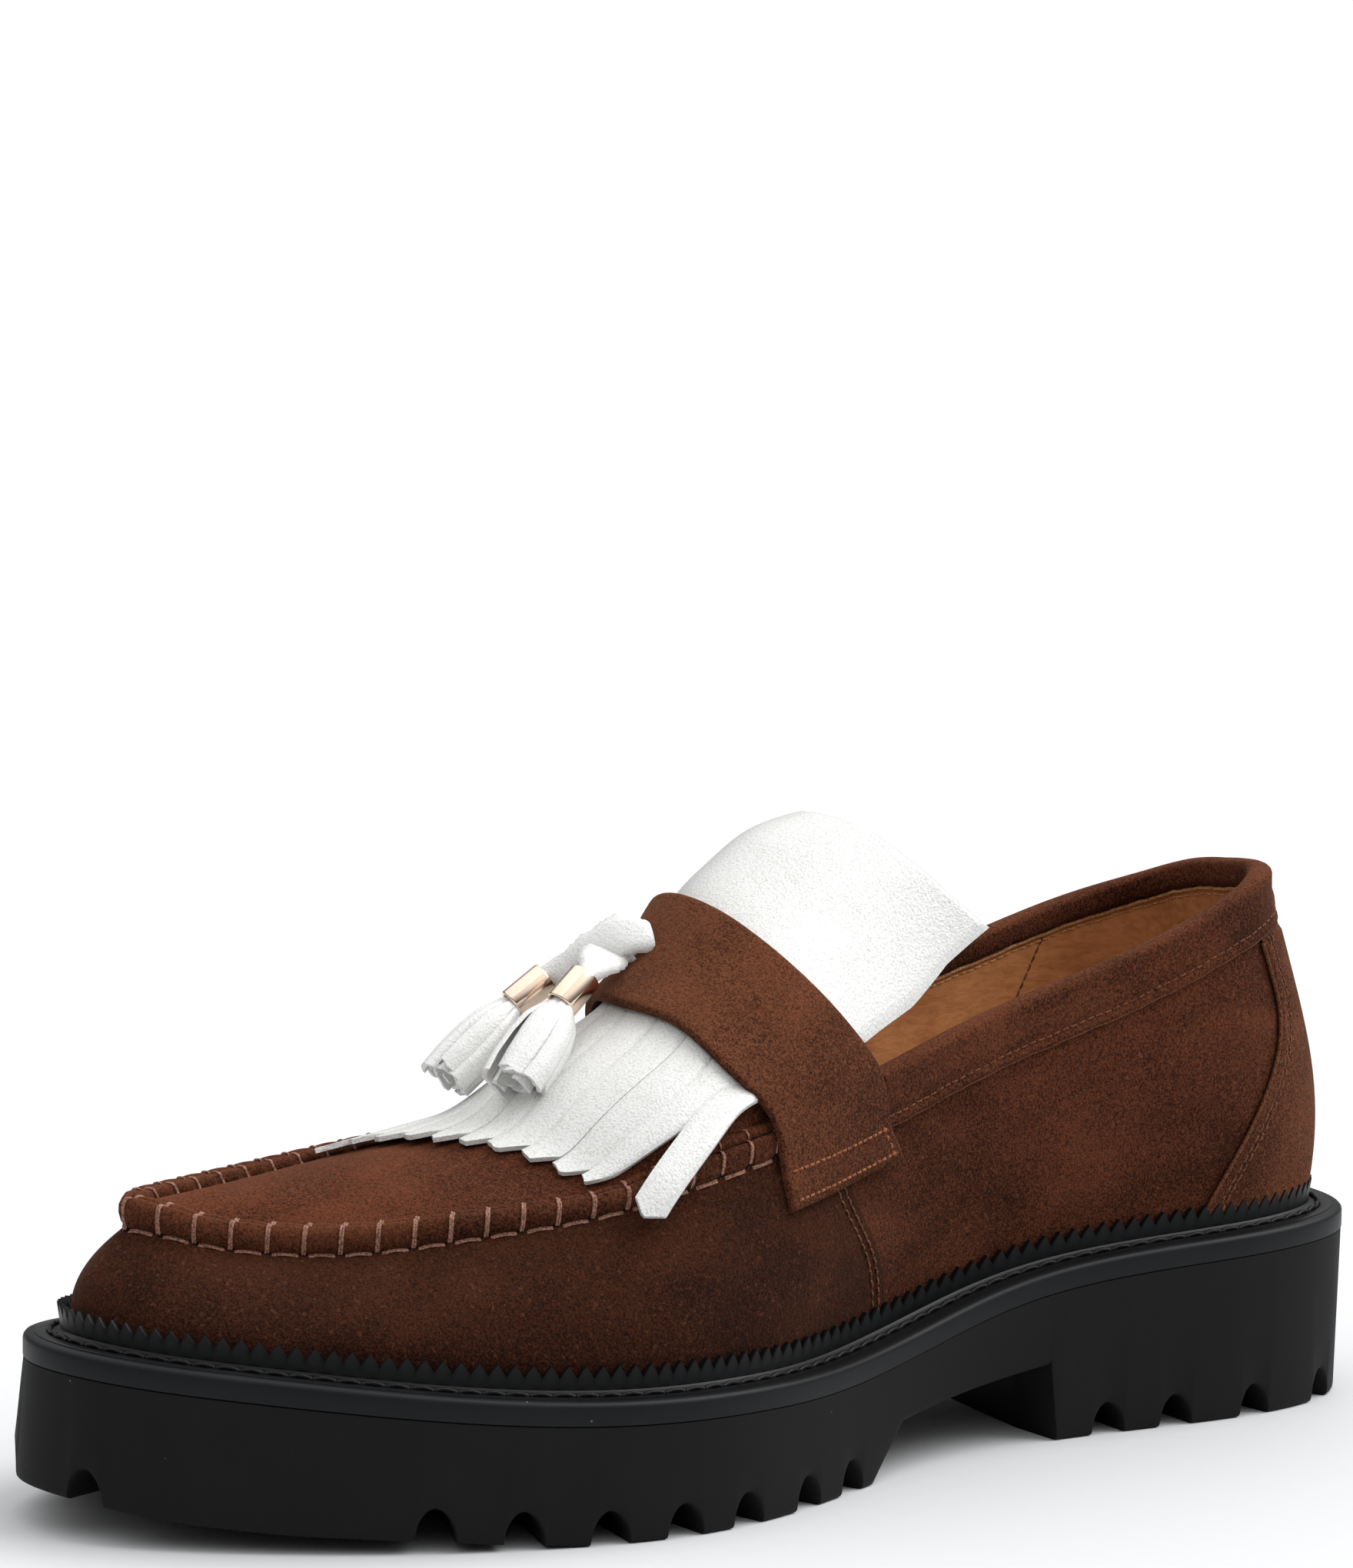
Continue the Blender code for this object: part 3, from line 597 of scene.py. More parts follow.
def stack(rings: List[Array]) -> Solid:
    """Solid through a stack of rings, closed across the first and the last.

    Args:
        rings: loops of points in order.

    Returns:
        The solid.
    """
    m = len(rings[0])
    n = m // 2
    cap = [(0, 1, m - 1)] + [(i, i + 1, m - i - 1, m - i) for i in range(1, n - 1)] + [(n - 1, n, n + 1)]
    last = (len(rings) - 1) * m
    faces = [f[::-1] for f in cap] + quads(len(rings), m, True) + [tuple(i + last for i in f) for f in cap]
    return np.vstack(rings), faces


def hoop(rings: List[Array]) -> Solid:
    """Closed band whose cross-section is the list of rings.

    Args:
        rings: loops of points in order.

    Returns:
        The solid.
    """
    m = len(rings[0])
    faces = []
    for k in range(len(rings)):
        a, b = k * m, (k + 1) % len(rings) * m
        faces += [(a + i, a + (i + 1) % m, b + (i + 1) % m, b + i) for i in range(m)]
    return np.vstack(rings), faces


def capped(rings: List[Array]) -> Solid:
    """Solid through open rings with a point at each end.

    Args:
        rings: loops of points in order.

    Returns:
        The solid.
    """
    m = len(rings[0])
    pts = np.vstack(rings + [rings[0].mean(0)[None], rings[-1].mean(0)[None]])
    a, b, last = len(rings) * m, len(rings) * m + 1, (len(rings) - 1) * m
    faces = quads(len(rings), m, True)
    faces += [(a, (i + 1) % m, i) for i in range(m)] + [(b, last + i, last + (i + 1) % m) for i in range(m)]
    return pts, faces


def joined(solids: Sequence[Solid]) -> Solid:
    """Several solids as one list of points and faces.

    Args:
        solids: points and faces of each.

    Returns:
        The whole.
    """
    pts, faces, start = [], [], 0
    for p, f in solids:
        pts.append(p)
        faces += [tuple(i + start for i in q) for q in f]
        start += len(p)
    return np.vstack(pts), faces


def facing_out(solid: Solid) -> Solid:
    """The solid with its faces turned outward.

    Args:
        solid: points and faces.

    Returns:
        The solid.
    """
    pts, faces = solid
    tris = np.array([(f[0], f[i], f[i + 1]) for f in faces for i in range(1, len(f) - 1)])
    near = pts - pts.mean(0)
    volume = np.sum(near[tris[:, 0]] * np.cross(near[tris[:, 1]], near[tris[:, 2]]))
    return (pts, [f[::-1] for f in faces]) if volume < 0 else solid


def layered(tops: Sequence[Array], lows: Sequence[Array]) -> Solid:
    """Closed sheet through rows of points on its top and on its underside."""
    return facing_out(shell(np.vstack(tops), np.vstack(lows), quads(len(tops), len(tops[0]))))


def lengthwise(lines: Sequence[Array]) -> Solid:
    """Closed strip through lines that run along it, in order round its section."""
    return facing_out(capped(list(np.stack(lines, 1))))


def ribbon(path: Array, normals: Array, widths: Array, thick: float, camber: Number, across: int,
           cut: Optional[Array] = None, rough: Optional[Array] = None) -> Solid:
    """Flat strip along a path.

    Args:
        path: points along the middle of the strip's underside.
        normals: direction out of the strip's face at each point.
        widths: width at each point.
        thick: thickness.
        camber: how far the middle stands over the edges.
        across: faces across the strip.
        cut: how much longer the strip is at each line across its end.
        rough: how far each point of the long edges wanders.

    Returns:
        A closed solid with softly rounded long edges.
    """
    tan = unit(np.gradient(path, axis=0))
    side = unit(np.cross(tan, normals))
    top = unit(np.cross(side, tan))
    t = np.linspace(-1, 1, across + 1)
    crown = np.multiply.outer(np.broadcast_to(camber, len(path)), 1 - t * t)
    round_off = 0.45 * thick * np.abs(t) ** 8
    half = widths[:, None] / 2 * t[None]
    if rough is not None:
        half = half + rough[:, None] * t[None] ** 5
    low = path[:, None] + side[:, None] * half[..., None] + top[:, None] * crown[..., None]
    if cut is not None:
        reach = np.linspace(0, 1, len(path)) ** 4
        low = low + tan[:, None] * (reach[:, None] * cut[None])[..., None]
    high = low + top[:, None] * (thick - round_off)[None, :, None]
    return layered(high, low)


def along(points: Sequence[Array], count: int) -> Array:
    """Even points on a smooth curve through a few points."""
    d = travel(points)
    return Spline(d, points)(np.linspace(0, d[-1], count))


def even_shares(line: Callable[[Array], Array], lo: float, hi: float, pitch: float) -> Array:
    """Shares at equal steps along a curve, counted back from hi.

    Args:
        line: the curve over its shares.
        lo: first share.
        hi: last share.
        pitch: step.

    Returns:
        The shares.
    """
    u = np.linspace(lo, hi, 600)
    d = travel(line(u))
    return np.interp(d[-1] - np.arange(0, d[-1], pitch), d, u)


class Wire:
    """One node socket that takes part in Python expressions."""

    def __init__(self, nodes: "Nodes", socket: bpy.types.NodeSocket) -> None:
        """Keep the socket with its tree."""
        self.nodes = nodes
        self.socket = socket

    def _math(self, operation: str, a: "Value", b: "Value") -> "Wire":
        """One Math node on two values."""
        return self.nodes.add("ShaderNodeMath", {"operation": operation}, {0: a, 1: b}, "Value")

    def __add__(self, other: "Value") -> "Wire":
        """Sum."""
        return self._math("ADD", self, other)

    __radd__ = __add__

    def __sub__(self, other: "Value") -> "Wire":
        """Difference."""
        return self._math("SUBTRACT", self, other)

    def __rsub__(self, other: "Value") -> "Wire":
        """Difference from a number."""
        return self._math("SUBTRACT", other, self)

    def __mul__(self, other: "Value") -> "Wire":
        """Product."""
        return self._math("MULTIPLY", self, other)

    __rmul__ = __mul__

    def step(self, lo: float, hi: float, start: float = 0.0, end: float = 1.0) -> "Wire":
        """Soft step from start at lo to end at hi."""
        ends = {"Value": self, "From Min": lo, "From Max": hi, "To Min": start, "To Max": end}
        return self.nodes.add("ShaderNodeMapRange", {"interpolation_type": "SMOOTHSTEP"}, ends, "Result")


Value = Union[Wire, float]


class Nodes:
    """Node tree whose nodes all come from one method."""

    def __init__(self, tree: bpy.types.NodeTree) -> None:
        """Keep the tree."""
        self.tree = tree

    @staticmethod
    def find(sockets: Sequence[bpy.types.NodeSocket], key: Union[str, int]) -> bpy.types.NodeSocket:
        """Socket by its number, or the live one with a name or identifier.

        Args:
            sockets: sockets of a node.
            key: the socket's number or name.

        Returns:
            The socket.
        """
        if isinstance(key, int):
            return sockets[key]
        return next(s for s in sockets if s.enabled and key in (s.identifier, s.name))

    def plug(self, node: bpy.types.Node, key: Union[str, int], value: object) -> None:
        """Set one input socket, or link a wire or several wires to it.

        Args:
            node: the node.
            key: the socket's number or name.
            value: a value, a wire or a list of wires.
        """
        socket = self.find(node.inputs, key)
        if isinstance(value, (Wire, list)):
            for wire in value if isinstance(value, list) else [value]:
                self.tree.links.new(wire.socket, socket)
        else:
            socket.default_value = (*value, 1.0) if socket.type == "RGBA" else value

    def add(self, kind: str, settings: Dict, sockets: Dict, out: Union[str, int] = 0) -> Wire:
        """Make one node and hand out one of its outputs.

        Args:
            kind: type of the node.
            settings: its properties.
            sockets: values or wires of its inputs.
            out: number or name of the output.

        Returns:
            The output.
        """
        node = self.tree.nodes.new(kind)
        for key, value in settings.items():
            setattr(node, key, value)
        for key, value in sockets.items():
            self.plug(node, key, value)
        return Wire(self, self.find(node.outputs, out))


class Graph(Nodes):
    """Shader nodes of one material or of the world; sizes are in millimetres."""

    def __init__(self, owner: Union[Material, bpy.types.World]) -> None:
        """Start with the owner's shader.

        Args:
            owner: a material or the world.
        """
        owner.use_nodes = True
        super().__init__(owner.node_tree)
        self.owner = owner
        self.shader = next(n for n in self.tree.nodes if n.type in ("BSDF_PRINCIPLED", "BACKGROUND"))

    @classmethod
    def material(cls, name: str) -> "Graph":
        """Graph of a new material."""
        return cls(bpy.data.materials.new(name))

    def place(self, *stretch: float) -> Wire:
        """Object coordinates, stretched along the axes where that is asked for."""
        point = self.add("ShaderNodeTexCoord", {}, {}, "Object")
        return self.add("ShaderNodeMapping", {}, {"Vector": point, "Scale": stretch}) if stretch else point

    def noise(self, place: Wire, size: float, detail: float = 2.0, rough: float = 0.5,
              twist: float = 0.0) -> Wire:
        """Cloudy pattern with patches of a size."""
        looks = {"Scale": 1 / (size * MM), "Detail": detail, "Roughness": rough, "Distortion": twist}
        return self.add("ShaderNodeTexNoise", {}, {"Vector": place, **looks}, "Fac")

    def cells(self, place: Wire, size: float, feature: str = "F1") -> Wire:
        """Distance pattern of pebbles of a size."""
        looks = {"Vector": place, "Scale": 1 / (size * MM)}
        return self.add("ShaderNodeTexVoronoi", {"feature": feature}, looks, "Distance")

    def mix(self, a: Union[Wire, Colour], b: Union[Wire, Colour], factor: Value) -> Wire:
        """Colour between a and b."""
        colours = {"Factor_Float": factor, "A_Color": a, "B_Color": b}
        return self.add("ShaderNodeMix", {"data_type": "RGBA"}, colours, "Result_Color")

    def bump(self, height: Wire, depth: float, strength: float = 1.0) -> Wire:
        """Normal of a relief as deep as depth where its height is 1."""
        relief = {"Height": height, "Distance": depth * MM, "Strength": strength}
        return self.add("ShaderNodeBump", {}, relief, "Normal")

    def finish(self, **sockets: Union[Value, Colour]) -> Material:
        """Set or link the shader's sockets, given in snake case.

        Args:
            sockets: values, colours or wires.

        Returns:
            The material.
        """
        for key, value in sockets.items():
            self.plug(self.shader, key.replace("_", " ").title().replace("Ior", "IOR"), value)
        return self.owner


@dataclass(frozen=True)
class Suede:
    """Napped leather."""

    name: str
    shadow: Colour = (0.017, 0.0047, 0.0021)
    light: Colour = (0.125, 0.037, 0.0160)
    tips: Colour = (0.28, 0.115, 0.058)
    glow: Colour = (0.70, 0.34, 0.19)
    grain: float = 0.42
    cloud: float = 17.0
    patch: float = 1.1

    def material(self) -> Material:
        """Short nap: brushed clouds, fine fibres, pale fibre tips, and painted top light that makes faces
        turned up lighter.

        Returns:
            The material.
        """
        g = Graph.material(self.name)
        p = g.place()
        # painted top light: the upward part of each face's normal lightens the tone below, in place of light
        # from above
        faces = g.add("ShaderNodeTexCoord", {}, {}, "Normal")
        up = g.add("ShaderNodeSeparateXYZ", {}, {"Vector": faces}, "Z")
        brushed = g.noise(g.place(1.0, 0.6, 1.0), self.cloud, 1.4, 0.5, 0.5)
        patches = g.noise(p, self.patch, 1.5, 0.6)
        fibre = g.noise(p, self.grain, 1.0, 0.6, 0.3)
        lint = g.noise(p, self.grain * 2.1, 0.0).step(0.70, 0.80)
        tone = brushed * 0.46 + patches * 0.26 + fibre * 0.86 + up * 0.10 - 0.31
        colour = g.mix(self.shadow, self.light, tone.step(0.23, 0.81))
        colour = g.mix(colour, self.tips, lint * 0.12)
        relief = g.bump(fibre * 0.75 + patches * 0.4, 0.34, 0.9)
        return g.finish(base_color=colour, roughness=0.96, sheen_weight=0.08, sheen_roughness=0.4,
                        sheen_tint=self.glow, specular_ior_level=0.10, normal=relief)


@dataclass(frozen=True)
class Rubber:
    """Moulded rubber."""

    name: str
    colour: Colour
    gloss: float
    shine: float
    dust: float
    dust_colour: Colour = (0.5, 0.5, 0.5)
    cloud: float = 16.0
    texture: float = 0.5
    speck_step: float = 5.5
    speck_field: float = 9.0

    def material(self) -> Material:
        """Fine moulded texture, cloudy gloss and a few specks of dust.

        Returns:
            The material.
        """
        g = Graph.material(self.name)
        p = g.place()
        cloud = g.noise(p, self.cloud, 3.0, 0.6)
        fine = g.noise(p, self.texture, 2.0, 0.6)
        dusty = g.noise(p, self.speck_field, 0.0).step(0.55, 0.62)
        speck = g.cells(p, self.speck_step).step(0.045, 0.03) * dusty * self.dust
        pale = tuple(min(1.0, c * 1.5 + 0.001) for c in self.colour)
        colour = g.mix(self.colour, pale, cloud.step(0.35, 0.75) * 0.5)
        colour = g.mix(colour, self.dust_colour, speck)
        rough = cloud * 0.14 + fine * 0.08 + (self.gloss - 0.11)
        return g.finish(base_color=colour, roughness=rough, specular_ior_level=self.shine,
                        normal=g.bump(fine, 0.05, 0.3))


@dataclass(frozen=True)
class PearlLeather:
    """White leather with a pearly foil on its grain."""

    name: str
    colour: Colour = (0.71, 0.71, 0.695)
    shade: Colour = (0.50, 0.495, 0.475)
    grain: float = 0.55
    crease: float = 0.42
    cloud: float = 9.0

    def material(self) -> Material:
        """Fine crumpled grain with bright flecks under a clear coat.

        Returns:
            The material.
        """
        g = Graph.material(self.name)
        p = g.place()
        pebble = g.cells(p, self.grain, "SMOOTH_F1")
        crumple = g.noise(p, self.crease, 2.0, 0.6)
        cloud = g.noise(p, self.cloud, 2.0)
        flecks = crumple.step(0.46, 0.66)
        colour = g.mix(self.colour, self.shade, flecks * 0.7 + cloud.step(0.45, 0.8) * 0.15)
        rough = flecks * 0.25 + cloud * 0.15 + 0.25
        relief = g.bump(pebble * 0.5 + crumple * 0.8, 0.22, 0.8)
        return g.finish(base_color=colour, roughness=rough, metallic=0.05, coat_weight=0.2,
                        coat_roughness=0.25, specular_ior_level=0.5, normal=relief)


@dataclass(frozen=True)
class LiningLeather:
    """Smooth tan lining leather."""

    name: str
    colour: Colour = (0.60, 0.275, 0.108)
    shade: Colour = (0.34, 0.138, 0.048)
    cloud: float = 12.0
    wrinkle: float = 1.5
    pore: float = 0.6

    def material(self) -> Material:
        """Wear clouds, long fine wrinkles and pores.

        Returns:
            The material.
        """
        g = Graph.material(self.name)
        p = g.place()
        cloud = g.noise(p, self.cloud, 3.0, 0.6)
        wrinkle = g.noise(g.place(1.0, 0.28, 1.0), self.wrinkle, 2.0, 0.55, 0.8)
        pore = g.cells(p, self.pore, "SMOOTH_F1")
        colour = g.mix(self.shade, self.colour, (cloud * 0.6 + wrinkle * 0.55).step(0.28, 0.82))
        return g.finish(base_color=colour, roughness=cloud * 0.15 + 0.42, specular_ior_level=0.35,
                        normal=g.bump(wrinkle * 0.8 + pore * 0.2, 0.28, 0.6))


@dataclass(frozen=True)
class PlatedMetal:
    """Polished plated tube."""

    name: str
    colour: Colour = (0.88, 0.68, 0.53)
    gleam: Colour = (0.95, 0.84, 0.74)
    line: float = 0.8

    def material(self) -> Material:
        """Mirror polish with faint drawing lines.

        Returns:
            The material.
        """
        g = Graph.material(self.name)
        line = g.noise(g.place(6.0, 0.4, 0.4), self.line, 2.0)
        tint = g.mix(self.colour, self.gleam, line.step(0.4, 0.7) * 0.4)
        return g.finish(base_color=tint, metallic=1.0, roughness=line * 0.08 + 0.07,
                        normal=g.bump(line, 0.01, 0.2))


@dataclass(frozen=True)
class Thread:
    """Waxed sewing thread."""

    name: str
    colour: Colour
    shade: Colour
    gloss: float = 0.5
    twist: float = 0.35

    def material(self) -> Material:
        """Fine twist in light and shade.

        Returns:
            The material.
        """
        g = Graph.material(self.name)
        ply = g.noise(g.place(), self.twist, 1.0)
        return g.finish(base_color=g.mix(self.shade, self.colour, ply.step(0.35, 0.62)), roughness=self.gloss,
                        specular_ior_level=0.15, normal=g.bump(ply, 0.10, 0.5))


@dataclass(frozen=True)
class StudioFloor:
    """Pale studio paper."""

    name: str
    colour: Colour = (0.64, 0.65, 0.665)
    pale: Colour = (0.67, 0.675, 0.685)
    tooth: float = 3.0

    def material(self) -> Material:
        """Almost even white with a trace of tooth.

        Returns:
            The material.
        """
        g = Graph.material(self.name)
        tooth = g.noise(g.place(), self.tooth, 2.0)
        colour = g.mix(self.colour, self.pale, tooth)
        return g.finish(base_color=colour, roughness=0.6, specular_ior_level=0.3)


class Finish(Enum):
    """Every finish on the shoe."""

    SUEDE = Suede("brown_suede")
    # darker copy of the brown suede for the vamp: painted shade where the vamp faces away from the light
    VAMP_SUEDE = Suede("vamp_suede", (0.0095, 0.0026, 0.0012), (0.058, 0.0175, 0.0078))
    # lighter copy of the brown suede for the strap and the heel overlay: painted light on parts that turn
    # towards the light
    STRAP_SUEDE = Suede("strap_suede", (0.024, 0.0074, 0.0035), (0.155, 0.052, 0.024))
    BOUND_SUEDE = Suede("binding_suede", (0.018, 0.0050, 0.0022), (0.130, 0.040, 0.0175))
    # darker copy of the brown suede for the raised toe seam: painted shade on its steep faces
    SEAM_SUEDE = Suede("seam_suede", (0.015, 0.0042, 0.0019), (0.110, 0.034, 0.015))
    OUTSOLE = Rubber("outsole_rubber_matte", (0.0042, 0.0042, 0.0043), 0.66, 0.16, 0.5)
    BAND = Rubber("midsole_rubber_satin", (0.0050, 0.0057, 0.0066), 0.46, 0.16, 0.35)
    WELT = Rubber("welt_rubber_satin", (0.0034, 0.0038, 0.0044), 0.38, 0.20, 0.1)
    PEARL = PearlLeather("pearl_leather")
    # lighter copy of the pearl leather for the tassel skirts and the thong: painted light that lifts their
    # shaded side
    PEARL_PAINTED_LIGHT = PearlLeather("pearl_leather_painted_light", (0.80, 0.80, 0.785), (0.66, 0.655, 0.635))
    LINING = LiningLeather("tan_lining")
    FERRULE = PlatedMetal("rose_plate")
    SEAM_THREAD = Thread("rose_seam_thread", (0.34, 0.175, 0.125), (0.13, 0.055, 0.036), 0.42)
    COPPER_THREAD = Thread("copper_thread", (0.36, 0.13, 0.055), (0.10, 0.03, 0.013))
    DULL_THREAD = Thread("dull_copper_thread", (0.19, 0.068, 0.030), (0.06, 0.02, 0.009))
    BROWN_THREAD = Thread("brown_thread", (0.200, 0.080, 0.040), (0.060, 0.020, 0.010))
    TAN_THREAD = Thread("tan_thread", (0.62, 0.38, 0.18), (0.34, 0.17, 0.07))
    BLACK_THREAD = Thread("black_thread", (0.010, 0.010, 0.011), (0.003, 0.003, 0.0035), 0.45)
    RAW_EDGE = Thread("raw_suede_edge", (0.150, 0.058, 0.028), (0.060, 0.020, 0.009), 0.95)
    # near-black beads for the needle holes: painted shade inside the holes
    HOLE_SHADE = Thread("needle_hole", (0.004, 0.002, 0.0015), (0.003, 0.0015, 0.001), 0.9)

    def make(self) -> Material:
        """The material, made once."""
        return bpy.data.materials.get(self.value.name) or self.value.material()


def linked(name: str, data: bpy.types.ID) -> bpy.types.Object:
    """New object at the origin, in the scene.

    Args:
        name: name of the object.
        data: what the object shows.

    Returns:
        The object.
    """
    obj = bpy.data.objects.new(name, data)
    bpy.context.scene.collection.objects.link(obj)
    return obj


def metres(points: Array) -> List[List[float]]:
    """Points of the shape code in metres, about the middle of the shoe."""
    return ((points - MIDDLE) * MM).tolist()


class Bench:
    """Where pieces are made, bound to the shoe's body and logged."""

    def __init__(self) -> None:
        """Start with an empty count."""
        self.count = 0

    def piece(self, name: str, solid: Solid, finishes: Sequence[Finish], slot: str, nodes: Sequence[str] = (),
              choice: Optional[Array] = None, sharp: float = 40.0) -> None:
        """Make a piece from points in millimetres, with its place in its mesh, and bind it.

        Args:
            name: name of the piece.
            solid: points and faces.
            finishes: its finishes.
            slot: its material slot.
            nodes: solids that it stands for.
            choice: finish number of each face.
            sharp: angle of sharp edges in degrees.
        """
        mesh = bpy.data.meshes.new(name)
        mesh.from_pydata(metres(solid[0]), [], solid[1])
        for finish in finishes:
            mesh.materials.append(finish.make())
        if choice is not None:
            mesh.polygons.foreach_set("material_index", choice)
        mesh.shade_smooth()
        mesh.set_sharp_from_angle(angle=float(np.radians(sharp)))
        mesh.update()
        self.bind(linked(name, mesh), slot, nodes)

    def bind(self, obj: bpy.types.Object, slot: str, nodes: Sequence[str] = ()) -> None:
        """Let a piece ride on the shoe and stand for its nodes, and log it with its slot.

        Args:
            obj: the piece.
            slot: its material slot.
            nodes: solids that it stands for.
        """
        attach(obj, "root")
        if nodes:
            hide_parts(*nodes)
        self.count += 1
        LOG.info("%s: %d faces, slot %s, stands for %s", obj.name, len(obj.data.polygons), slot,
                 ", ".join(nodes) or "nothing")


class Strand(Enum):
    """Cross-section of a swept thread."""

    ROUND = 1
    TWIN = 2


@dataclass(frozen=True)
class Stitch:
    """Sizes of one kind of stitch: step, length, thread radius and rise of its crown over its ends."""

    pitch: float
    length: float
    radius: float
    rise: float


class PathTree(Nodes):
    """Geometry Nodes tree with named inputs, for lines of points that carry the way they face."""

    def __init__(self, name: str) -> None:
        """Start the tree with its geometry in and out.

        Args:
            name: name of the tree.
        """
        super().__init__(bpy.data.node_groups.new(name, "GeometryNodeTree"))
        self.ids: Dict[str, str] = {}
        for way in ("INPUT", "OUTPUT"):
            self.tree.interface.new_socket("Geometry", in_out=way, socket_type="NodeSocketGeometry")
        self.source = self.tree.nodes.new("NodeGroupInput")
        self.target = self.tree.nodes.new("NodeGroupOutput")
        self.lines = Wire(self, self.source.outputs[0])

    def want(self, name: str, kind: str = "NodeSocketFloat") -> Wire:
        """Add a named input."""
        self.ids[name] = self.tree.interface.new_socket(name, in_out="INPUT", socket_type=kind).identifier
        return Wire(self, self.find(self.source.outputs, self.ids[name]))

    def facing(self) -> Wire:
        """The way that each point faces."""
        kind = {"data_type": "FLOAT_VECTOR"}
        return self.add("GeometryNodeInputNamedAttribute", kind, {"Name": "facing"}, "Attribute")

    def close(self, geometry: Wire) -> "PathTree":
        """End in realized, smooth and dressed geometry.

        Args:
            geometry: what to dress.

        Returns:
            The tree.
        """
        whole = self.add("GeometryNodeRealizeInstances", {}, {"Geometry": geometry})
        soft = self.add("GeometryNodeSetShadeSmooth", {}, {0: whole})
        material = self.want("Material", "NodeSocketMaterial")
        dressed = self.add("GeometryNodeSetMaterial", {}, {"Geometry": soft, "Material": material})
        self.plug(self.target, 0, dressed)
        return self

    def run(self, obj: bpy.types.Object, **values: object) -> None:
        """Apply the tree to an object and keep the result as a plain mesh.

        Args:
            obj: the lines.
            values: inputs by name.
        """
        modifier = obj.modifiers.new(self.tree.name, "NODES")
        modifier.node_group = self.tree
        for key, value in values.items():
            modifier[self.ids[key]] = value
        deps = bpy.context.evaluated_depsgraph_get()
        whole = obj.evaluated_get(deps)
        mesh = bpy.data.meshes.new_from_object(whole, preserve_all_data_layers=True, depsgraph=deps)
        mesh.name = obj.name
        obj.modifiers.clear()
        obj.data = mesh


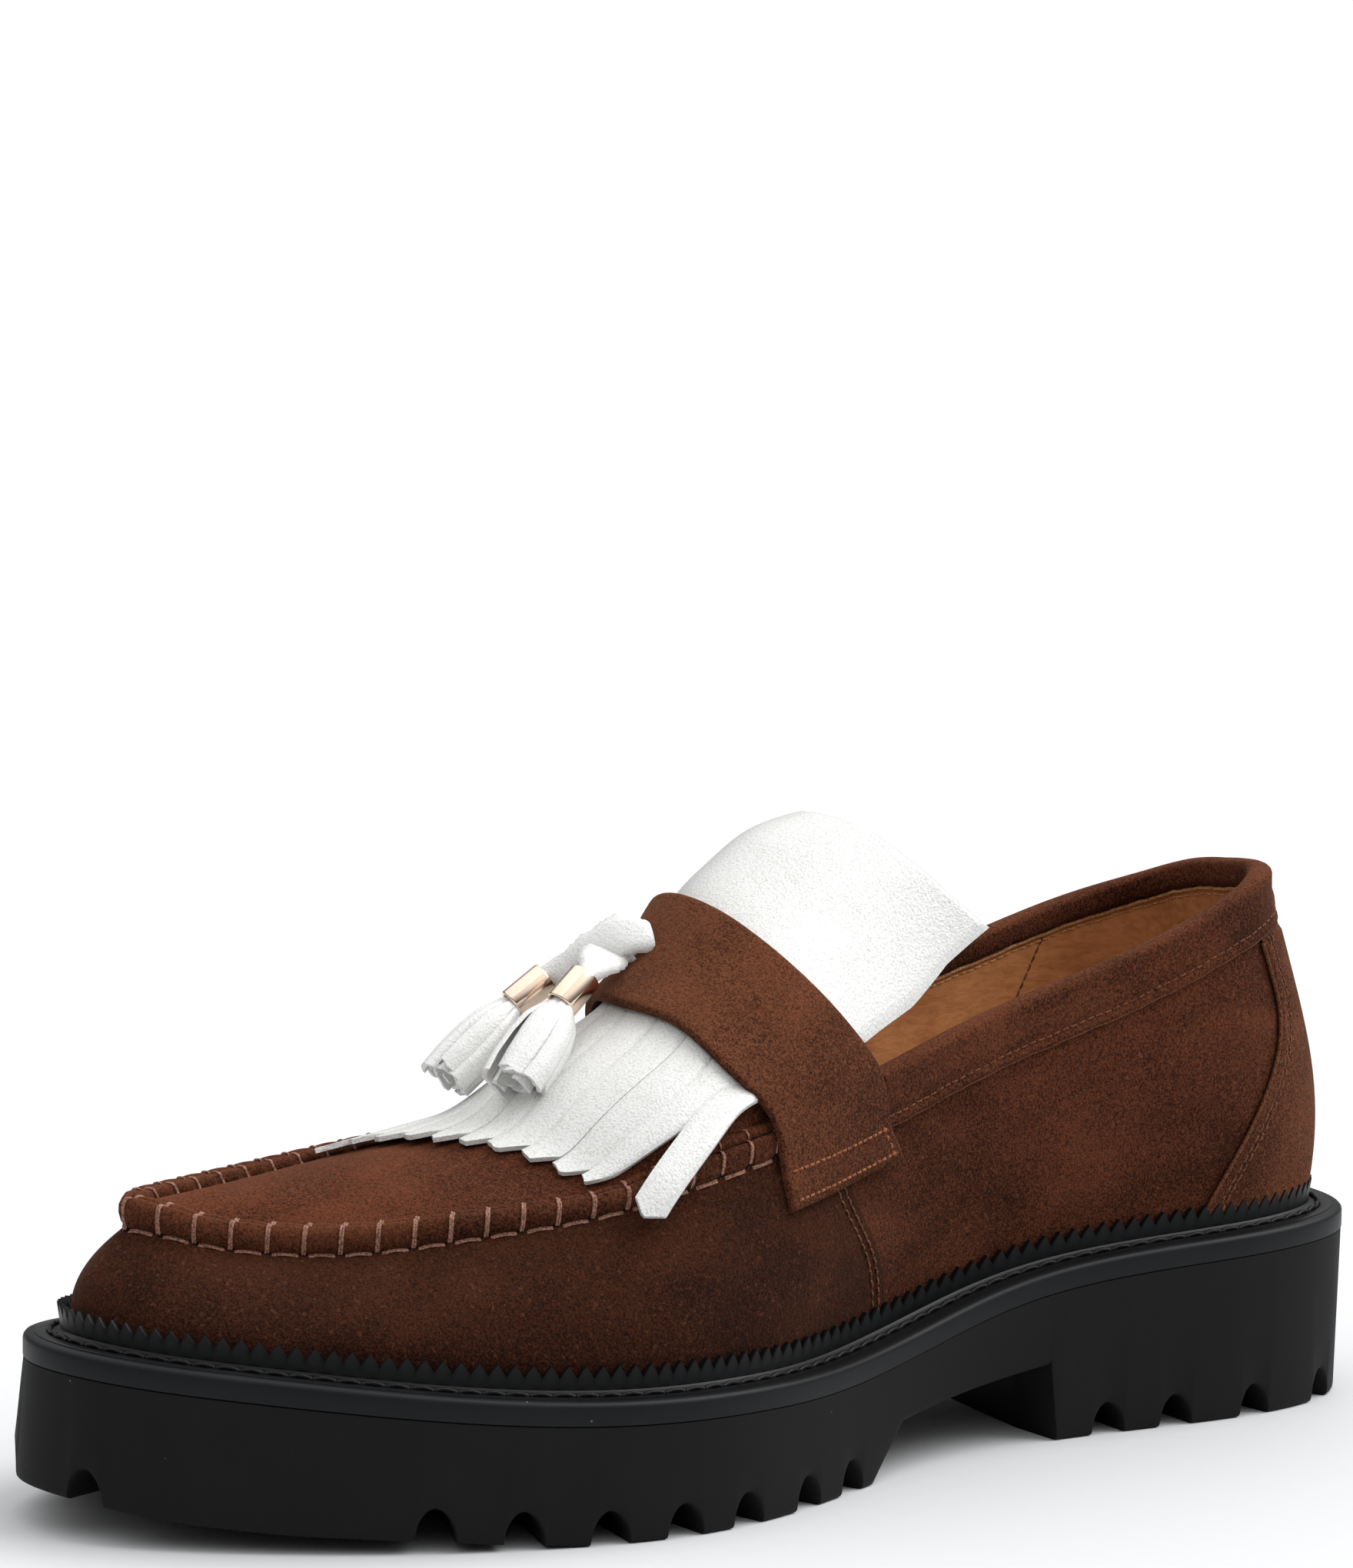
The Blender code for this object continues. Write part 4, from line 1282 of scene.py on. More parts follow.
class Needle:
    """Sewing: rows of stitches, threads laid over an edge and needle holes."""

    bead_flat: float = 0.45
    twin_aside: float = 0.82

    def __init__(self, bench: Bench) -> None:
        """Build the trees once.

        Args:
            bench: where pieces are made.
        """
        self.bench = bench
        self.row_tree = self._row_tree()
        self.sweep = {strand: self._sweep_tree(strand) for strand in Strand}
        self.hole_tree = self._hole_tree()

    def _profile(self, tree: PathTree, strand: Strand, radius: Wire) -> Wire:
        """Profile curve of one or two round strands.

        Args:
            tree: the tree.
            strand: its cross-section.
            radius: radius of the thread.

        Returns:
            The curve.
        """
        round_one = {"Resolution": 7, "Radius": radius}
        circle = tree.add("GeometryNodeCurvePrimitiveCircle", {"mode": "RADIUS"}, round_one)
        if strand is Strand.ROUND:
            return circle
        pair = []
        for turn in (-self.twin_aside, self.twin_aside):
            aside = tree.add("ShaderNodeCombineXYZ", {}, {"Y": radius * turn})
            pair.append(tree.add("GeometryNodeTransform", {}, {"Geometry": circle, "Translation": aside}))
        return tree.add("GeometryNodeJoinGeometry", {}, {"Geometry": pair})

    def _sweep_tree(self, strand: Strand) -> PathTree:
        """Thread swept along every line.

        Args:
            strand: its cross-section.

        Returns:
            The tree.
        """
        tree = PathTree("thread_sweep_" + strand.name.lower())
        profile = self._profile(tree, strand, tree.want("Radius"))
        path = tree.add("GeometryNodeMeshToCurve", {}, {"Mesh": tree.lines})
        free = {"Curve": path, "Normal": tree.facing()}
        turned = tree.add("GeometryNodeSetCurveNormal", {"mode": "FREE"}, free)
        sweep = {"Curve": turned, "Profile Curve": profile, "Fill Caps": True}
        return tree.close(tree.add("GeometryNodeCurveToMesh", {}, sweep))

    def _row_tree(self) -> PathTree:
        """Arched stitches at an even pitch along every line.

        Returns:
            The tree.
        """
        tree = PathTree("stitch_row")
        pitch, radius = tree.want("Pitch"), tree.want("Radius")
        start, crown, end = (tree.want(name, "NodeSocketVector") for name in ("Start", "Crown", "End"))
        bow = {"Resolution": 5, "Start": start, "Middle": crown, "End": end}
        arch = tree.add("GeometryNodeCurveQuadraticBezier", {}, bow)
        sweep = {"Curve": arch, "Profile Curve": self._profile(tree, Strand.ROUND, radius), "Fill Caps": True}
        body = tree.add("GeometryNodeCurveToMesh", {}, sweep)
        path = tree.add("GeometryNodeMeshToCurve", {}, {"Mesh": tree.lines})
        spaced = tree.add("GeometryNodeResampleCurve", {"mode": "LENGTH"}, {"Curve": path, "Length": pitch})
        axes = {"Primary Axis": tree.add("GeometryNodeInputTangent", {}, {}), "Secondary Axis": tree.facing()}
        turn = tree.add("FunctionNodeAxesToRotation", {"primary_axis": "X", "secondary_axis": "Z"}, axes)
        return tree.close(tree.add("GeometryNodeInstanceOnPoints", {},
                                   {"Points": spaced, "Instance": body, "Rotation": turn}))

    def _hole_tree(self) -> PathTree:
        """Small flat beads on every point, turned to face out.

        Returns:
            The tree.
        """
        tree = PathTree("needle_holes")
        ball = {"Segments": 8, "Rings": 5, "Radius": tree.want("Radius")}
        bead = tree.add("GeometryNodeMeshUVSphere", {}, ball)
        flat = tree.add("GeometryNodeTransform", {}, {"Geometry": bead, "Scale": (1.0, 1.0, self.bead_flat)})
        turn = tree.add("FunctionNodeAlignRotationToVector", {"axis": "Z"}, {"Vector": tree.facing()})
        return tree.close(tree.add("GeometryNodeInstanceOnPoints", {},
                                   {"Points": tree.lines, "Instance": flat, "Rotation": turn}))

    @staticmethod
    def guide(name: str, runs: Sequence[Run]) -> bpy.types.Object:
        """Mesh of open lines that carries the facing direction at each point.

        Args:
            name: name of the piece.
            runs: lines with their directions out.

        Returns:
            The guide.
        """
        edges, start = [], 0
        for line, _ in runs:
            edges += [(start + i, start + i + 1) for i in range(len(line) - 1)]
            start += len(line)
        mesh = bpy.data.meshes.new(name)
        mesh.from_pydata(metres(np.vstack([line for line, _ in runs])), edges, [])
        layer = mesh.attributes.new("facing", "FLOAT_VECTOR", "POINT")
        layer.data.foreach_set("vector", unit(np.vstack([out for _, out in runs])).ravel())
        return linked(name, mesh)

    def _sew(self, tree: PathTree, name: str, runs: Sequence[Run], finish: Finish, slot: str,
             **sizes: object) -> None:
        """Run a tree on lines and bind the piece.

        Args:
            tree: the tree.
            name: name of the piece.
            runs: lines with their directions out.
            finish: its finish.
            slot: its material slot.
            sizes: other inputs by name.
        """
        obj = self.guide(name, runs)
        tree.run(obj, Material=finish.make(), **sizes)
        self.bench.bind(obj, slot)

    def row(self, name: str, runs: Sequence[Run], finish: Finish, slot: str, stitch: Stitch) -> None:
        """Sew rows of stitches along lines.

        Args:
            name: name of the piece.
            runs: lines with their directions out.
            finish: its finish.
            slot: its material slot.
            stitch: sizes of a stitch.
        """
        half, low, crown = stitch.length / 2 * MM, -stitch.rise / 2 * MM, stitch.rise * 1.5 * MM
        ends = {"Start": (-half, 0.0, low), "Crown": (0.0, 0.0, crown), "End": (half, 0.0, low)}
        self._sew(self.row_tree, name, runs, finish, slot, Pitch=stitch.pitch * MM,
                  Radius=stitch.radius * MM, **ends)

    def lay(self, name: str, runs: Sequence[Run], finish: Finish, slot: str, radius: float,
            strand: Strand = Strand.ROUND) -> None:
        """Lay a thread or piping along lines."""
        self._sew(self.sweep[strand], name, runs, finish, slot, Radius=radius * MM)

    def holes(self, name: str, runs: Sequence[Run], slot: str, radius: float) -> None:
        """Mark needle holes with near-black beads of painted shade."""
        self._sew(self.hole_tree, name, runs, Finish.HOLE_SHADE, slot, Radius=radius * MM)


def surface_line(point: Callable[[float], Array]) -> Run:
    """Line on a surface with the directions out of it, from a function of the distance out."""
    base = point(0.0)
    return base, unit(point(1.0) - base)


@dataclass
class SoleUnit:
    """Outsole with lugs, midsole band, toothed welt and footbed."""

    # middles of the notches in the side of the outsole, as shares
    notches: Tuple[float, ...] = (
        0.101, 0.165, 0.223, 0.270, 0.489, 0.534, 0.586, 0.630, 0.675, 0.723, 0.771, 0.961)
    notch_half: float = 3.7
    notch_depth: float = 6.0
    notch_arch: Pair = (1.9, 0.62)
    notch_end: float = -14.2
    core: float = 8.0
    breast: Pair = (0.3065, 0.3115)
    flare: Pair = (-0.8, 1.4)
    grid: int = 181
    apart: float = 0.002
    # side of the outsole: share of the flare, distance out, share of the way down, height
    side_rows: Table = (
        (0.0, -1.0, 0.0, 0.0), (0.0, -0.3, 0.0, -0.02), (0.0, -0.12, 0.0, -0.15), (0.35, -0.065, 0.33, 0.0),
        (0.7, -0.03, 0.66, 0.0), (1.0, 0.0, 1.0, 1.4), (1.0, -0.12, 1.0, 0.7), (1.0, -0.45, 1.0, 0.22),
        (1.0, -1.2, 1.0, 0.0), (0.0, -13.5, 1.0, 0.0))
    # midsole band and footbed: inset, height over the sole top
    band_rows: Table = (
        (0.3, -BAND - 0.25), (0.06, -BAND - 0.18), (0.0, -BAND), (0.0, -0.8), (0.12, -0.3), (0.45, 0.08),
        (1.0, 0.28), (1.7, 0.33))
    bed_rows: Table = ((11.7, SPLIT), (11.5, 0.6), (11.5, 2.0), (11.75, 2.4), (12.3, 2.6))
    bed_grid: int = 121
    # foot of the welt with its stitch groove: inset, height over the sole top
    welt_rows: Table = (
        (8.0, SPLIT), (2.0, SPLIT), (2.0, 0.42), (2.3, 0.5), (3.7, 0.55), (4.1, 0.36), (5.3, 0.36),
        (5.8, 0.6), (6.2, 0.75), (6.5, 1.1))
    # front and back of the welt's rim: height, inset
    rim_face: Table = ((1.4, 6.6), (5.6, 6.0))
    rim_back: Table = ((1.2, 8.0), (5.6, 7.1))
    rim_foot: Pair = (1.75, 1.6)
    rim_soft: Triple = (0.12, 0.1, 0.5)
    teeth: int = 98
    per_tooth: int = 6
    tooth_low: float = 3.3
    tooth_high: float = 5.6
    tooth_bow: float = 0.9
    stitch_line: Pair = (-4.7, 0.62)
    stitch: Stitch = Stitch(4.2, 3.9, 0.45, 0.4)

    def columns(self) -> Tuple[Array, Array]:
        """Columns of the outsole with the share of the notch depth at each.

        Returns:
            Shares and depths.
        """
        marks = {u: 0.0 for u in (0.0, 1.0, *self.breast, ARCH[1][0], ARCH[2][0])}
        wide, tall = self.notch_arch
        for c in self.notches:
            for d in np.linspace(-self.notch_half, self.notch_half, 17):
                marks[c + d / SIDE_MM] = (1 - abs(d / self.notch_half) ** wide) ** tall
        for u in np.linspace(0, 1, self.grid):
            clear = all(abs(u - c) > self.notch_half / SIDE_MM + self.apart for c in self.notches)
            if clear and min(abs(u - m) for m in marks) > self.apart:
                marks[u] = 0.0
        shares = np.array(sorted(marks))
        return shares, np.array([marks[u] for u in shares])

    def underside(self, station: Array, u: Array) -> Array:
        """Height of the underside before the notches are taken out."""
        z = np.where(u < ARCH[2][0], read(ARCH, u), read(FORE_FLOOR, station))
        return np.where(u < sum(self.breast) / 2, 0.0, z)

    def outsole(self) -> Solid:
        """Outsole with rounded edges and arched notches.

        Returns:
            The solid.
        """
        u, cut = self.columns()
        flare = self.flare[0] + (self.flare[1] - self.flare[0]) * smooth(0.3, 1.0, u)
        rings: List[Dict[int, Array]] = [{} for _ in range(len(self.side_rows) + 1)]
        for side in SIDES:
            station = LAST.outline.at(side, u)[:, 1]
            top = LAST.top(station)
            floor = self.underside(station, u)
            head = top - BAND - SPLIT
            deep = np.minimum(floor + self.notch_depth * cut, top - BAND - self.core)
            rows = [(share * flare + out, head + (deep - head) * way + height)
                    for share, out, way, height in self.side_rows]
            rows.append((self.notch_end, floor + self.notch_depth / 2 * cut))
            for row, (out, height) in zip(rings, rows):
                row[side] = LAST.place(side, u, out, height - top)
        return facing_out(stack([ring(r) for r in rings]))

    @staticmethod
    def plate(rows: Table, count: int) -> Solid:
        """Plate through rows of inset and height, with closer columns at the heel and the toe."""
        u = (1 - np.cos(np.linspace(0, np.pi, count))) / 2 * 0.35 + np.linspace(0, 1, count) * 0.65
        return facing_out(stack([ring({s: LAST.place(s, u, -i, z) for s in SIDES}) for i, z in rows]))

    def welt(self) -> Solid:
        """Strip with a stitch groove and a rim cut into teeth.

        Returns:
            The solid.
        """
        u = np.linspace(0, 1, self.teeth * self.per_tooth + 1)
        peak = np.abs(2 * (u * self.teeth % 1.0) - 1) ** self.tooth_bow
        crest = self.tooth_low + (self.tooth_high - self.tooth_low) * peak
        face, back = read(self.rim_face, crest), read(self.rim_back, crest)
        lip, bevel, shoulder = self.rim_soft
        front_foot, back_foot = self.rim_foot
        rows = [*self.welt_rows, (read(self.rim_face, front_foot), front_foot),
                (read(self.rim_face, crest - shoulder), crest - shoulder), (face, crest - bevel),
                (face + lip, crest), (back - lip, crest), (back, crest - bevel),
                (read(self.rim_back, back_foot), back_foot)]
        return facing_out(hoop([ring({s: LAST.place(s, u, -i, z) for s in SIDES}) for i, z in rows]))

    def build(self, bench: Bench, needle: Needle) -> None:
        """Make and dress the pieces of the sole.

        Args:
            bench: where pieces are made.
            needle: the sewing kit.
        """
        bench.piece("sole_block", self.outsole(), [Finish.OUTSOLE], "outsole_rubber", ["outsole"], sharp=32)
        band, bed = self.plate(self.band_rows, self.grid), self.plate(self.bed_rows, self.bed_grid)
        bench.piece("sole_band", band, [Finish.BAND], "midsole_rubber", ["midsole"])
        bench.piece("toothed_welt", self.welt(), [Finish.WELT], "welt_rubber", ["welt"], sharp=30)
        bench.piece("footbed", bed, [Finish.LINING], "insole_leather", ["insole"])
        u = np.linspace(0, 1, 400)
        runs = [(LAST.place(side, u, *self.stitch_line), np.tile(UP, (len(u), 1))) for side in SIDES]
        needle.row("welt_stitches", runs, Finish.BLACK_THREAD, "welt_rubber", self.stitch)


@dataclass
class Upper:
    """Side walls, toe seam and apron in suede over a tan lining."""

    throat: float = 0.475
    tip: float = 0.985
    rear: int = 112
    front: int = 150
    across: int = 56
    rows: int = 34
    sink: float = 0.9
    vamp_seam: float = 0.470
    vamp_step: float = 0.6
    vamp_fade: Pair = (0.50, 0.60)
    bend_from: float = 0.36
    # seam between vamp and quarter: height share of the wall, share along the sole
    seam_line: Table = (
        (0.0, 0.424), (0.11, 0.427), (0.32, 0.435), (0.46, 0.4446), (0.67, 0.459), (1.0, 0.470))
    # soft dents and swells of the wall: side, share, height share, reach along, reach up, depth
    dents: Table = (
        (OUTER, 0.40, 0.55, 0.05, 0.30, -0.5), (OUTER, 0.55, 0.72, 0.03, 0.22, -0.5),
        (OUTER, 0.62, 0.35, 0.06, 0.3, 0.35), (OUTER, 0.30, 0.45, 0.05, 0.35, 0.35),
        (INNER, 0.42, 0.55, 0.05, 0.30, -0.6), (INNER, 0.60, 0.7, 0.04, 0.3, -0.5))
    # soft troughs across the apron: share, section position, reach along, reach across, depth
    troughs: Table = (
        (0.70, 0.25, 0.018, 0.55, -0.55), (0.745, -0.15, 0.022, 0.6, -0.35), (0.80, 0.35, 0.02, 0.4, -0.3))
    stitch_rows: Pair = (0.0062, 0.0118)
    stitch: Stitch = Stitch(2.1, 1.7, 0.2, 0.25)

    def columns(self) -> Tuple[Array, int]:
        """Columns along each side and the number behind the throat.

        Returns:
            Shares and a count.
        """
        near = self.vamp_seam + np.array([-0.0012, -0.0004, 0.0004, 0.0012])
        rear = self.throat * np.linspace(0, 1, self.rear, endpoint=False) ** 1.1
        rear = np.sort(np.r_[rear[np.abs(rear - self.vamp_seam) > 0.0025], near])
        return np.r_[rear, np.linspace(self.throat, 1, self.front)], len(rear)

    def warp(self, c: Array, v: float) -> Array:
        """Columns bent to follow the seam between vamp and quarter.

        Args:
            c: columns along a side.
            v: height share of the wall.

        Returns:
            Shares.
        """
        shift = float(curve(self.seam_line)(v)) - self.vamp_seam
        fade = 1 - smooth(self.vamp_seam, self.vamp_fade[1], c)
        return c + shift * smooth(self.bend_from, self.vamp_seam, c) * fade

    def relief(self, side: int, c: Array, u: Array, v: float) -> Array:
        """Height of the vamp edge and of the listed dents.

        Args:
            side: OUTER or INNER.
            c: columns along a side.
            u: shares.
            v: height share of the wall.

        Returns:
            Distance out.
        """
        lap = smooth(self.vamp_seam - 0.0005, self.vamp_seam + 0.0005, c) * (1 - smooth(*self.vamp_fade, c))
        own = [row[1:] for row in self.dents if row[0] == side]
        return self.vamp_step * lap * (1 - smooth(0.85, 1.0, v)) + dented(own, u, v)

    def walls(self, c: Array) -> Tuple[List[Array], List[Array]]:
        """Rings of the side walls from the foot to the base of the seam, outside and inside.

        Args:
            c: columns along a side.

        Returns:
            Rings of both faces.
        """
        outer, inner = [], []
        for v in np.linspace(0, 1, self.rows):
            u = self.warp(c, v)
            outer.append(ring({s: LAST.wall(s, u, v, self.relief(s, c, u, v)) for s in SIDES}))
            inner.append(ring({s: LAST.wall(s, u, v, -WALL) for s in SIDES}))
        return outer, inner

    def brim(self, c: Array) -> Tuple[List[Array], List[Array]]:
        """Rings of the edge, the top of the raised seam and the start of the apron, outside and inside.

        Args:
            c: columns along a side.

        Returns:
            Rings of both faces.
        """
        outer: List[Dict[int, Array]] = [{}, {}, {}]
        inner: List[Dict[int, Array]] = [{}, {}, {}]
        k = np.clip(c, self.throat, self.tip)
        throat, toe = smooth(0.44, self.throat, c)[:, None], smooth(0.93, self.tip, c)[:, None]
        for s in SIDES:
            edge, ridge, apron = LAST.seam(s, c)
            fold = (LAST.wall(s, c, 1) - edge) * LAST.slump(s, c)[:, None]
            fold = fold - LAST.seam_axes(s, c)[1] * (self.sink * LAST.ridge(c))[:, None]
            base, collar = (LAST.wall(s, c, v, -WALL) for v in (1, 2))
            under = LAST.lifted(k, s * self.tip, -WALL) * (1 - toe) + (apron - TOE_WALL) * toe
            lining = collar * (1 - throat) + (base * 0.62 + under * 0.38) * throat
            rows = ((edge + fold, lining), (ridge + fold, base * 0.3 + under * 0.7), (apron, under))
            for row, (top, low) in enumerate(rows):
                outer[row][s], inner[row][s] = top, low
        return [ring(r) for r in outer], [ring(r) for r in inner]

    def apron(self, shares: Array) -> Tuple[Array, Array]:
        """Lines of points across the apron, on its top and on its lining.

        Args:
            shares: share of each line.

        Returns:
            Points of both faces.
        """
        a = np.linspace(1, -1, self.across + 2)[1:-1]
        tops, lows = [], []
        for u in shares:
            form = LAST.form(u, a)
            trough = dented(self.troughs, u, a) * (1 - np.abs(a) ** 6)
            tops.append(form + UP * trough[:, None])
            lows.append(LAST.lifted(u, a, -WALL) if u <= self.tip else form - TOE_WALL)
        return np.vstack(tops), np.vstack(lows)

    def shell(self) -> Tuple[Solid, Array]:
        """Hollow upper, open at the collar and underneath, and the finish number of each face.

        Returns:
            The solid and its finish numbers.
        """
        c, behind = self.columns()
        outer, inner = self.walls(c)
        brim, lining = self.brim(c)
        m, walls = len(brim[0]), len(outer)
        faces = quads(walls + 1, m, True)
        points, below = np.vstack(outer + brim[:1]), np.vstack(inner + lining[:1])
        front = list(range(behind, m - behind + 1))
        last = [walls * m + k for k in front]
        for top, low in zip(brim[1:], lining[1:]):
            now = list(range(len(points), len(points) + len(front)))
            points, below = np.vstack([points, top[front]]), np.vstack([below, low[front]])
            faces += [(last[i], last[i + 1], now[i + 1], now[i]) for i in range(len(front) - 1)]
            last = now
        half = len(last) // 2
        tops, lows = self.apron(c[behind:behind + half])
        first = np.arange(len(points), len(points) + len(tops)).reshape(half, -1).tolist()
        lines = [[last[j], *first[j], last[-1 - j]] for j in range(half)]
        for p, q in zip(lines, lines[1:]):
            faces += [(p[i], q[i], q[i + 1], p[i + 1]) for i in range(self.across + 1)]
        end = lines[-1]
        faces += [(end[i], last[half], end[i + 1]) for i in range(self.across + 1)]
        solid = shell(np.vstack([points, tops]), np.vstack([below, lows]), faces)
        choice = np.zeros(len(solid[1]), np.int32)
        choice[len(faces):2 * len(faces)] = 1
        # the vamp's faces take the darker copy of the suede: painted shade
        share = np.r_[c, c[-2:0:-1]]
        vamp = np.tile((share + np.roll(share, -1)) / 2 > self.vamp_seam, walls)
        choice[:len(vamp)][vamp] = 2
        return facing_out(solid), choice

    def build(self, bench: Bench, needle: Needle) -> None:
        """Make the upper and the stitches between vamp and quarter.

        Args:
            bench: where pieces are made.
            needle: the sewing kit.
        """
        solid, choice = self.shell()
        finishes = [Finish.SUEDE, Finish.LINING, Finish.VAMP_SUEDE]
        bench.piece("suede_upper", solid, finishes, "suede", ["upper"], choice, 50)
        v = np.linspace(0.03, 0.9, 60)
        u, out = curve(self.seam_line)(v), self.vamp_step + 0.02
        runs = [surface_line(lambda d: LAST.wall(side, u + back, v, out + d))
                for side in SIDES for back in self.stitch_rows]
        needle.row("vamp_stitches", runs, Finish.BROWN_THREAD, "suede", self.stitch)


@dataclass
class ToeSeam:
    """Raised seam round the apron, whipped with a thick thread."""

    start: float = 0.498
    first: float = 0.01
    pitch: float = 6.5
    fine: float = 0.55
    lean: float = 0.35
    trail: float = 1.3
    plump: float = 1.5
    puff: float = 0.32
    thread: float = 0.25
    hole_shade: float = 0.85
    core: Pair = (0.55, 1.9)
    foot_span: Pair = (0.14, 0.86)
    foot_height: float = 0.985
    foot_arch: Pair = (0.42, -0.12)
    # section of the seam: share of the way down to the base, distance across, height, pucker
    section: Table = (
        (1.08, 0.6, 0.0, 0.0), (1.0, -0.05, 0.0, 0.15), (0.78, -0.25, 0.0, 0.5), (0.5, -0.35, 0.0, 0.6),
        (0.24, -0.32, 0.0, 0.5), (0.07, -0.12, 0.05, 0.3), (0.0, 0.25, 0.32, 0.1), (0.0, 0.9, 0.45, 0.0),
        (0.0, 1.42, 0.28, 0.0), (0.0, 1.70, -0.30, 0.0), (0.0, 1.98, 0.25, 0.0), (0.0, 2.6, 0.5, 0.0),
        (0.0, 3.25, 0.42, -0.1), (0.0, 3.7, 0.0, -0.25), (0.0, 4.0, -0.7, -0.2), (0.0, 4.35, -1.6, 0.0),
        (0.35, 2.2, -1.4, 0.0))

    def frame(self, side: int, u: Array) -> Tuple[Array, Array, Array, Array]:
        """Edge point, way down to the base, directions across and up.

        Args:
            side: OUTER or INNER.
            u: shares.

        Returns:
            The point and three directions.
        """
        edge = LAST.wall(side, u, 2)
        down = LAST.wall(side, u, 1) - edge
        slump = LAST.slump(side, u)[:, None]
        return edge + down * slump, down * (1 - slump), *LAST.seam_axes(side, u)

    def point(self, side: int, u: Array, row: Sequence[float], swell: Array) -> Array:
        """Points of one row of the section, with the pucker swelling between stitches.

        Args:
            side: OUTER or INNER.
            u: shares.
            row: one row of the section.
            swell: pucker at each share.

        Returns:
            Points.
        """
        edge, down, inward, lift = self.frame(side, u)
        drop, across, height, pucker = row
        whole = LAST.ridge(u)[:, None]
        across = (across - self.plump * pucker * swell)[:, None] * (0.4 + 0.6 * whole)
        height = (height + self.puff * swell * (drop == 0.0))[:, None] * whole
        return edge + down * drop + inward * across + lift * height

    def steps(self, side: int, pitch: float) -> Array:
        """Shares at an even pitch along the edge, from the toe back."""
        return even_shares(lambda u: LAST.wall(side, u, 2), self.start, 1.0, pitch)

    def stitches(self, side: int) -> Array:
        """Shares of the stitches on one side, from the toe back."""
        marks = self.steps(side, self.pitch)
        return marks[marks > self.start + self.first]

    def swell(self, side: int, u: Array) -> Array:
        """Pucker of the seam: 0 at the stitches, 1 between them.

        Args:
            side: OUTER or INNER.
            u: shares.

        Returns:
            Share at each u.
        """
        marks = np.sort(self.steps(side, self.pitch))
        k = np.interp(u, marks, np.arange(len(marks)), left=0.5)
        return np.abs(np.sin(np.pi * k)) ** 0.7

    def body(self) -> Solid:
        """The seam as one closed strip.

        Returns:
            The solid.
        """
        u = {s: self.steps(s, self.fine)[::-1] for s in SIDES}
        rings = []
        for row in self.section:
            part = {s: self.point(s, u[s], row, self.swell(s, u[s])) for s in SIDES}
            rings.append(np.vstack([part[OUTER], part[INNER][::-1][1:]]))
        return lengthwise(rings)

    def whip(self, side: int) -> Tuple[List[Run], Run]:
        """Threads over the seam and the holes where they enter.

        Args:
            side: OUTER or INNER.

        Returns:
            Threads and holes.
        """
        over = [row for row in self.section if row[0] <= 1.0][:-1]
        top = next(k for k, row in enumerate(over) if row[0] == 0.0)
        low, deep = self.core
        runs, holes, outs = [], [], []
        for mark in self.stitches(side):
            pts = []
            for k, row in enumerate(over):
                back = self.lean * min(k, top) / top + self.trail * max(0, k - top) / (len(over) - top)
                pts.append(self.point(side, np.array([mark - back / SIDE_MM]), row, np.zeros(1))[0])
            edge, down, inward, lift = (q[0] for q in self.frame(side, np.array([mark])))
            out = unit(np.array(pts) - (edge + down * low + inward * deep))
            runs.append((along(np.array(pts) + out * (self.thread * 0.75), 22), along(out, 22)))
            holes.append(pts[0])
            outs.append(-inward + lift * 0.2)
        return runs, (np.array(holes), np.array(outs))

    def foot(self, side: int) -> List[Run]:
        """Arched threads along the foot of the seam, from stitch to stitch.

        Args:
            side: OUTER or INNER.

        Returns:
            Threads.
        """
        marks = self.stitches(side)
        arch, sink = self.foot_arch
        rise = arch * np.sin(np.linspace(0, np.pi, 9)) + sink
        runs = []
        for a, b in zip(marks, marks[1:]):
            u = np.linspace(*(a + (b - a) * q for q in self.foot_span), 9)
            runs.append(surface_line(lambda d: LAST.wall(side, u, self.foot_height, rise + d)))
        return runs

    def build(self, bench: Bench, needle: Needle) -> None:
        """Make the seam and sew it.

        Args:
            bench: where pieces are made.
            needle: the sewing kit.
        """
        bench.piece("toe_seam", self.body(), [Finish.SEAM_SUEDE], "suede", sharp=60)
        (outer, outer_holes), (inner, inner_holes) = (self.whip(side) for side in SIDES)
        feet = [run for side in SIDES for run in self.foot(side)]
        sewing = Finish.SEAM_THREAD, "suede"
        needle.lay("seam_whip_stitches", outer + inner[1:], *sewing, self.thread, Strand.TWIN)
        needle.lay("seam_foot_stitches", feet, *sewing, self.thread * 0.9, Strand.TWIN)
        needle.holes("seam_needle_holes", [outer_holes, inner_holes], "suede", self.hole_shade)


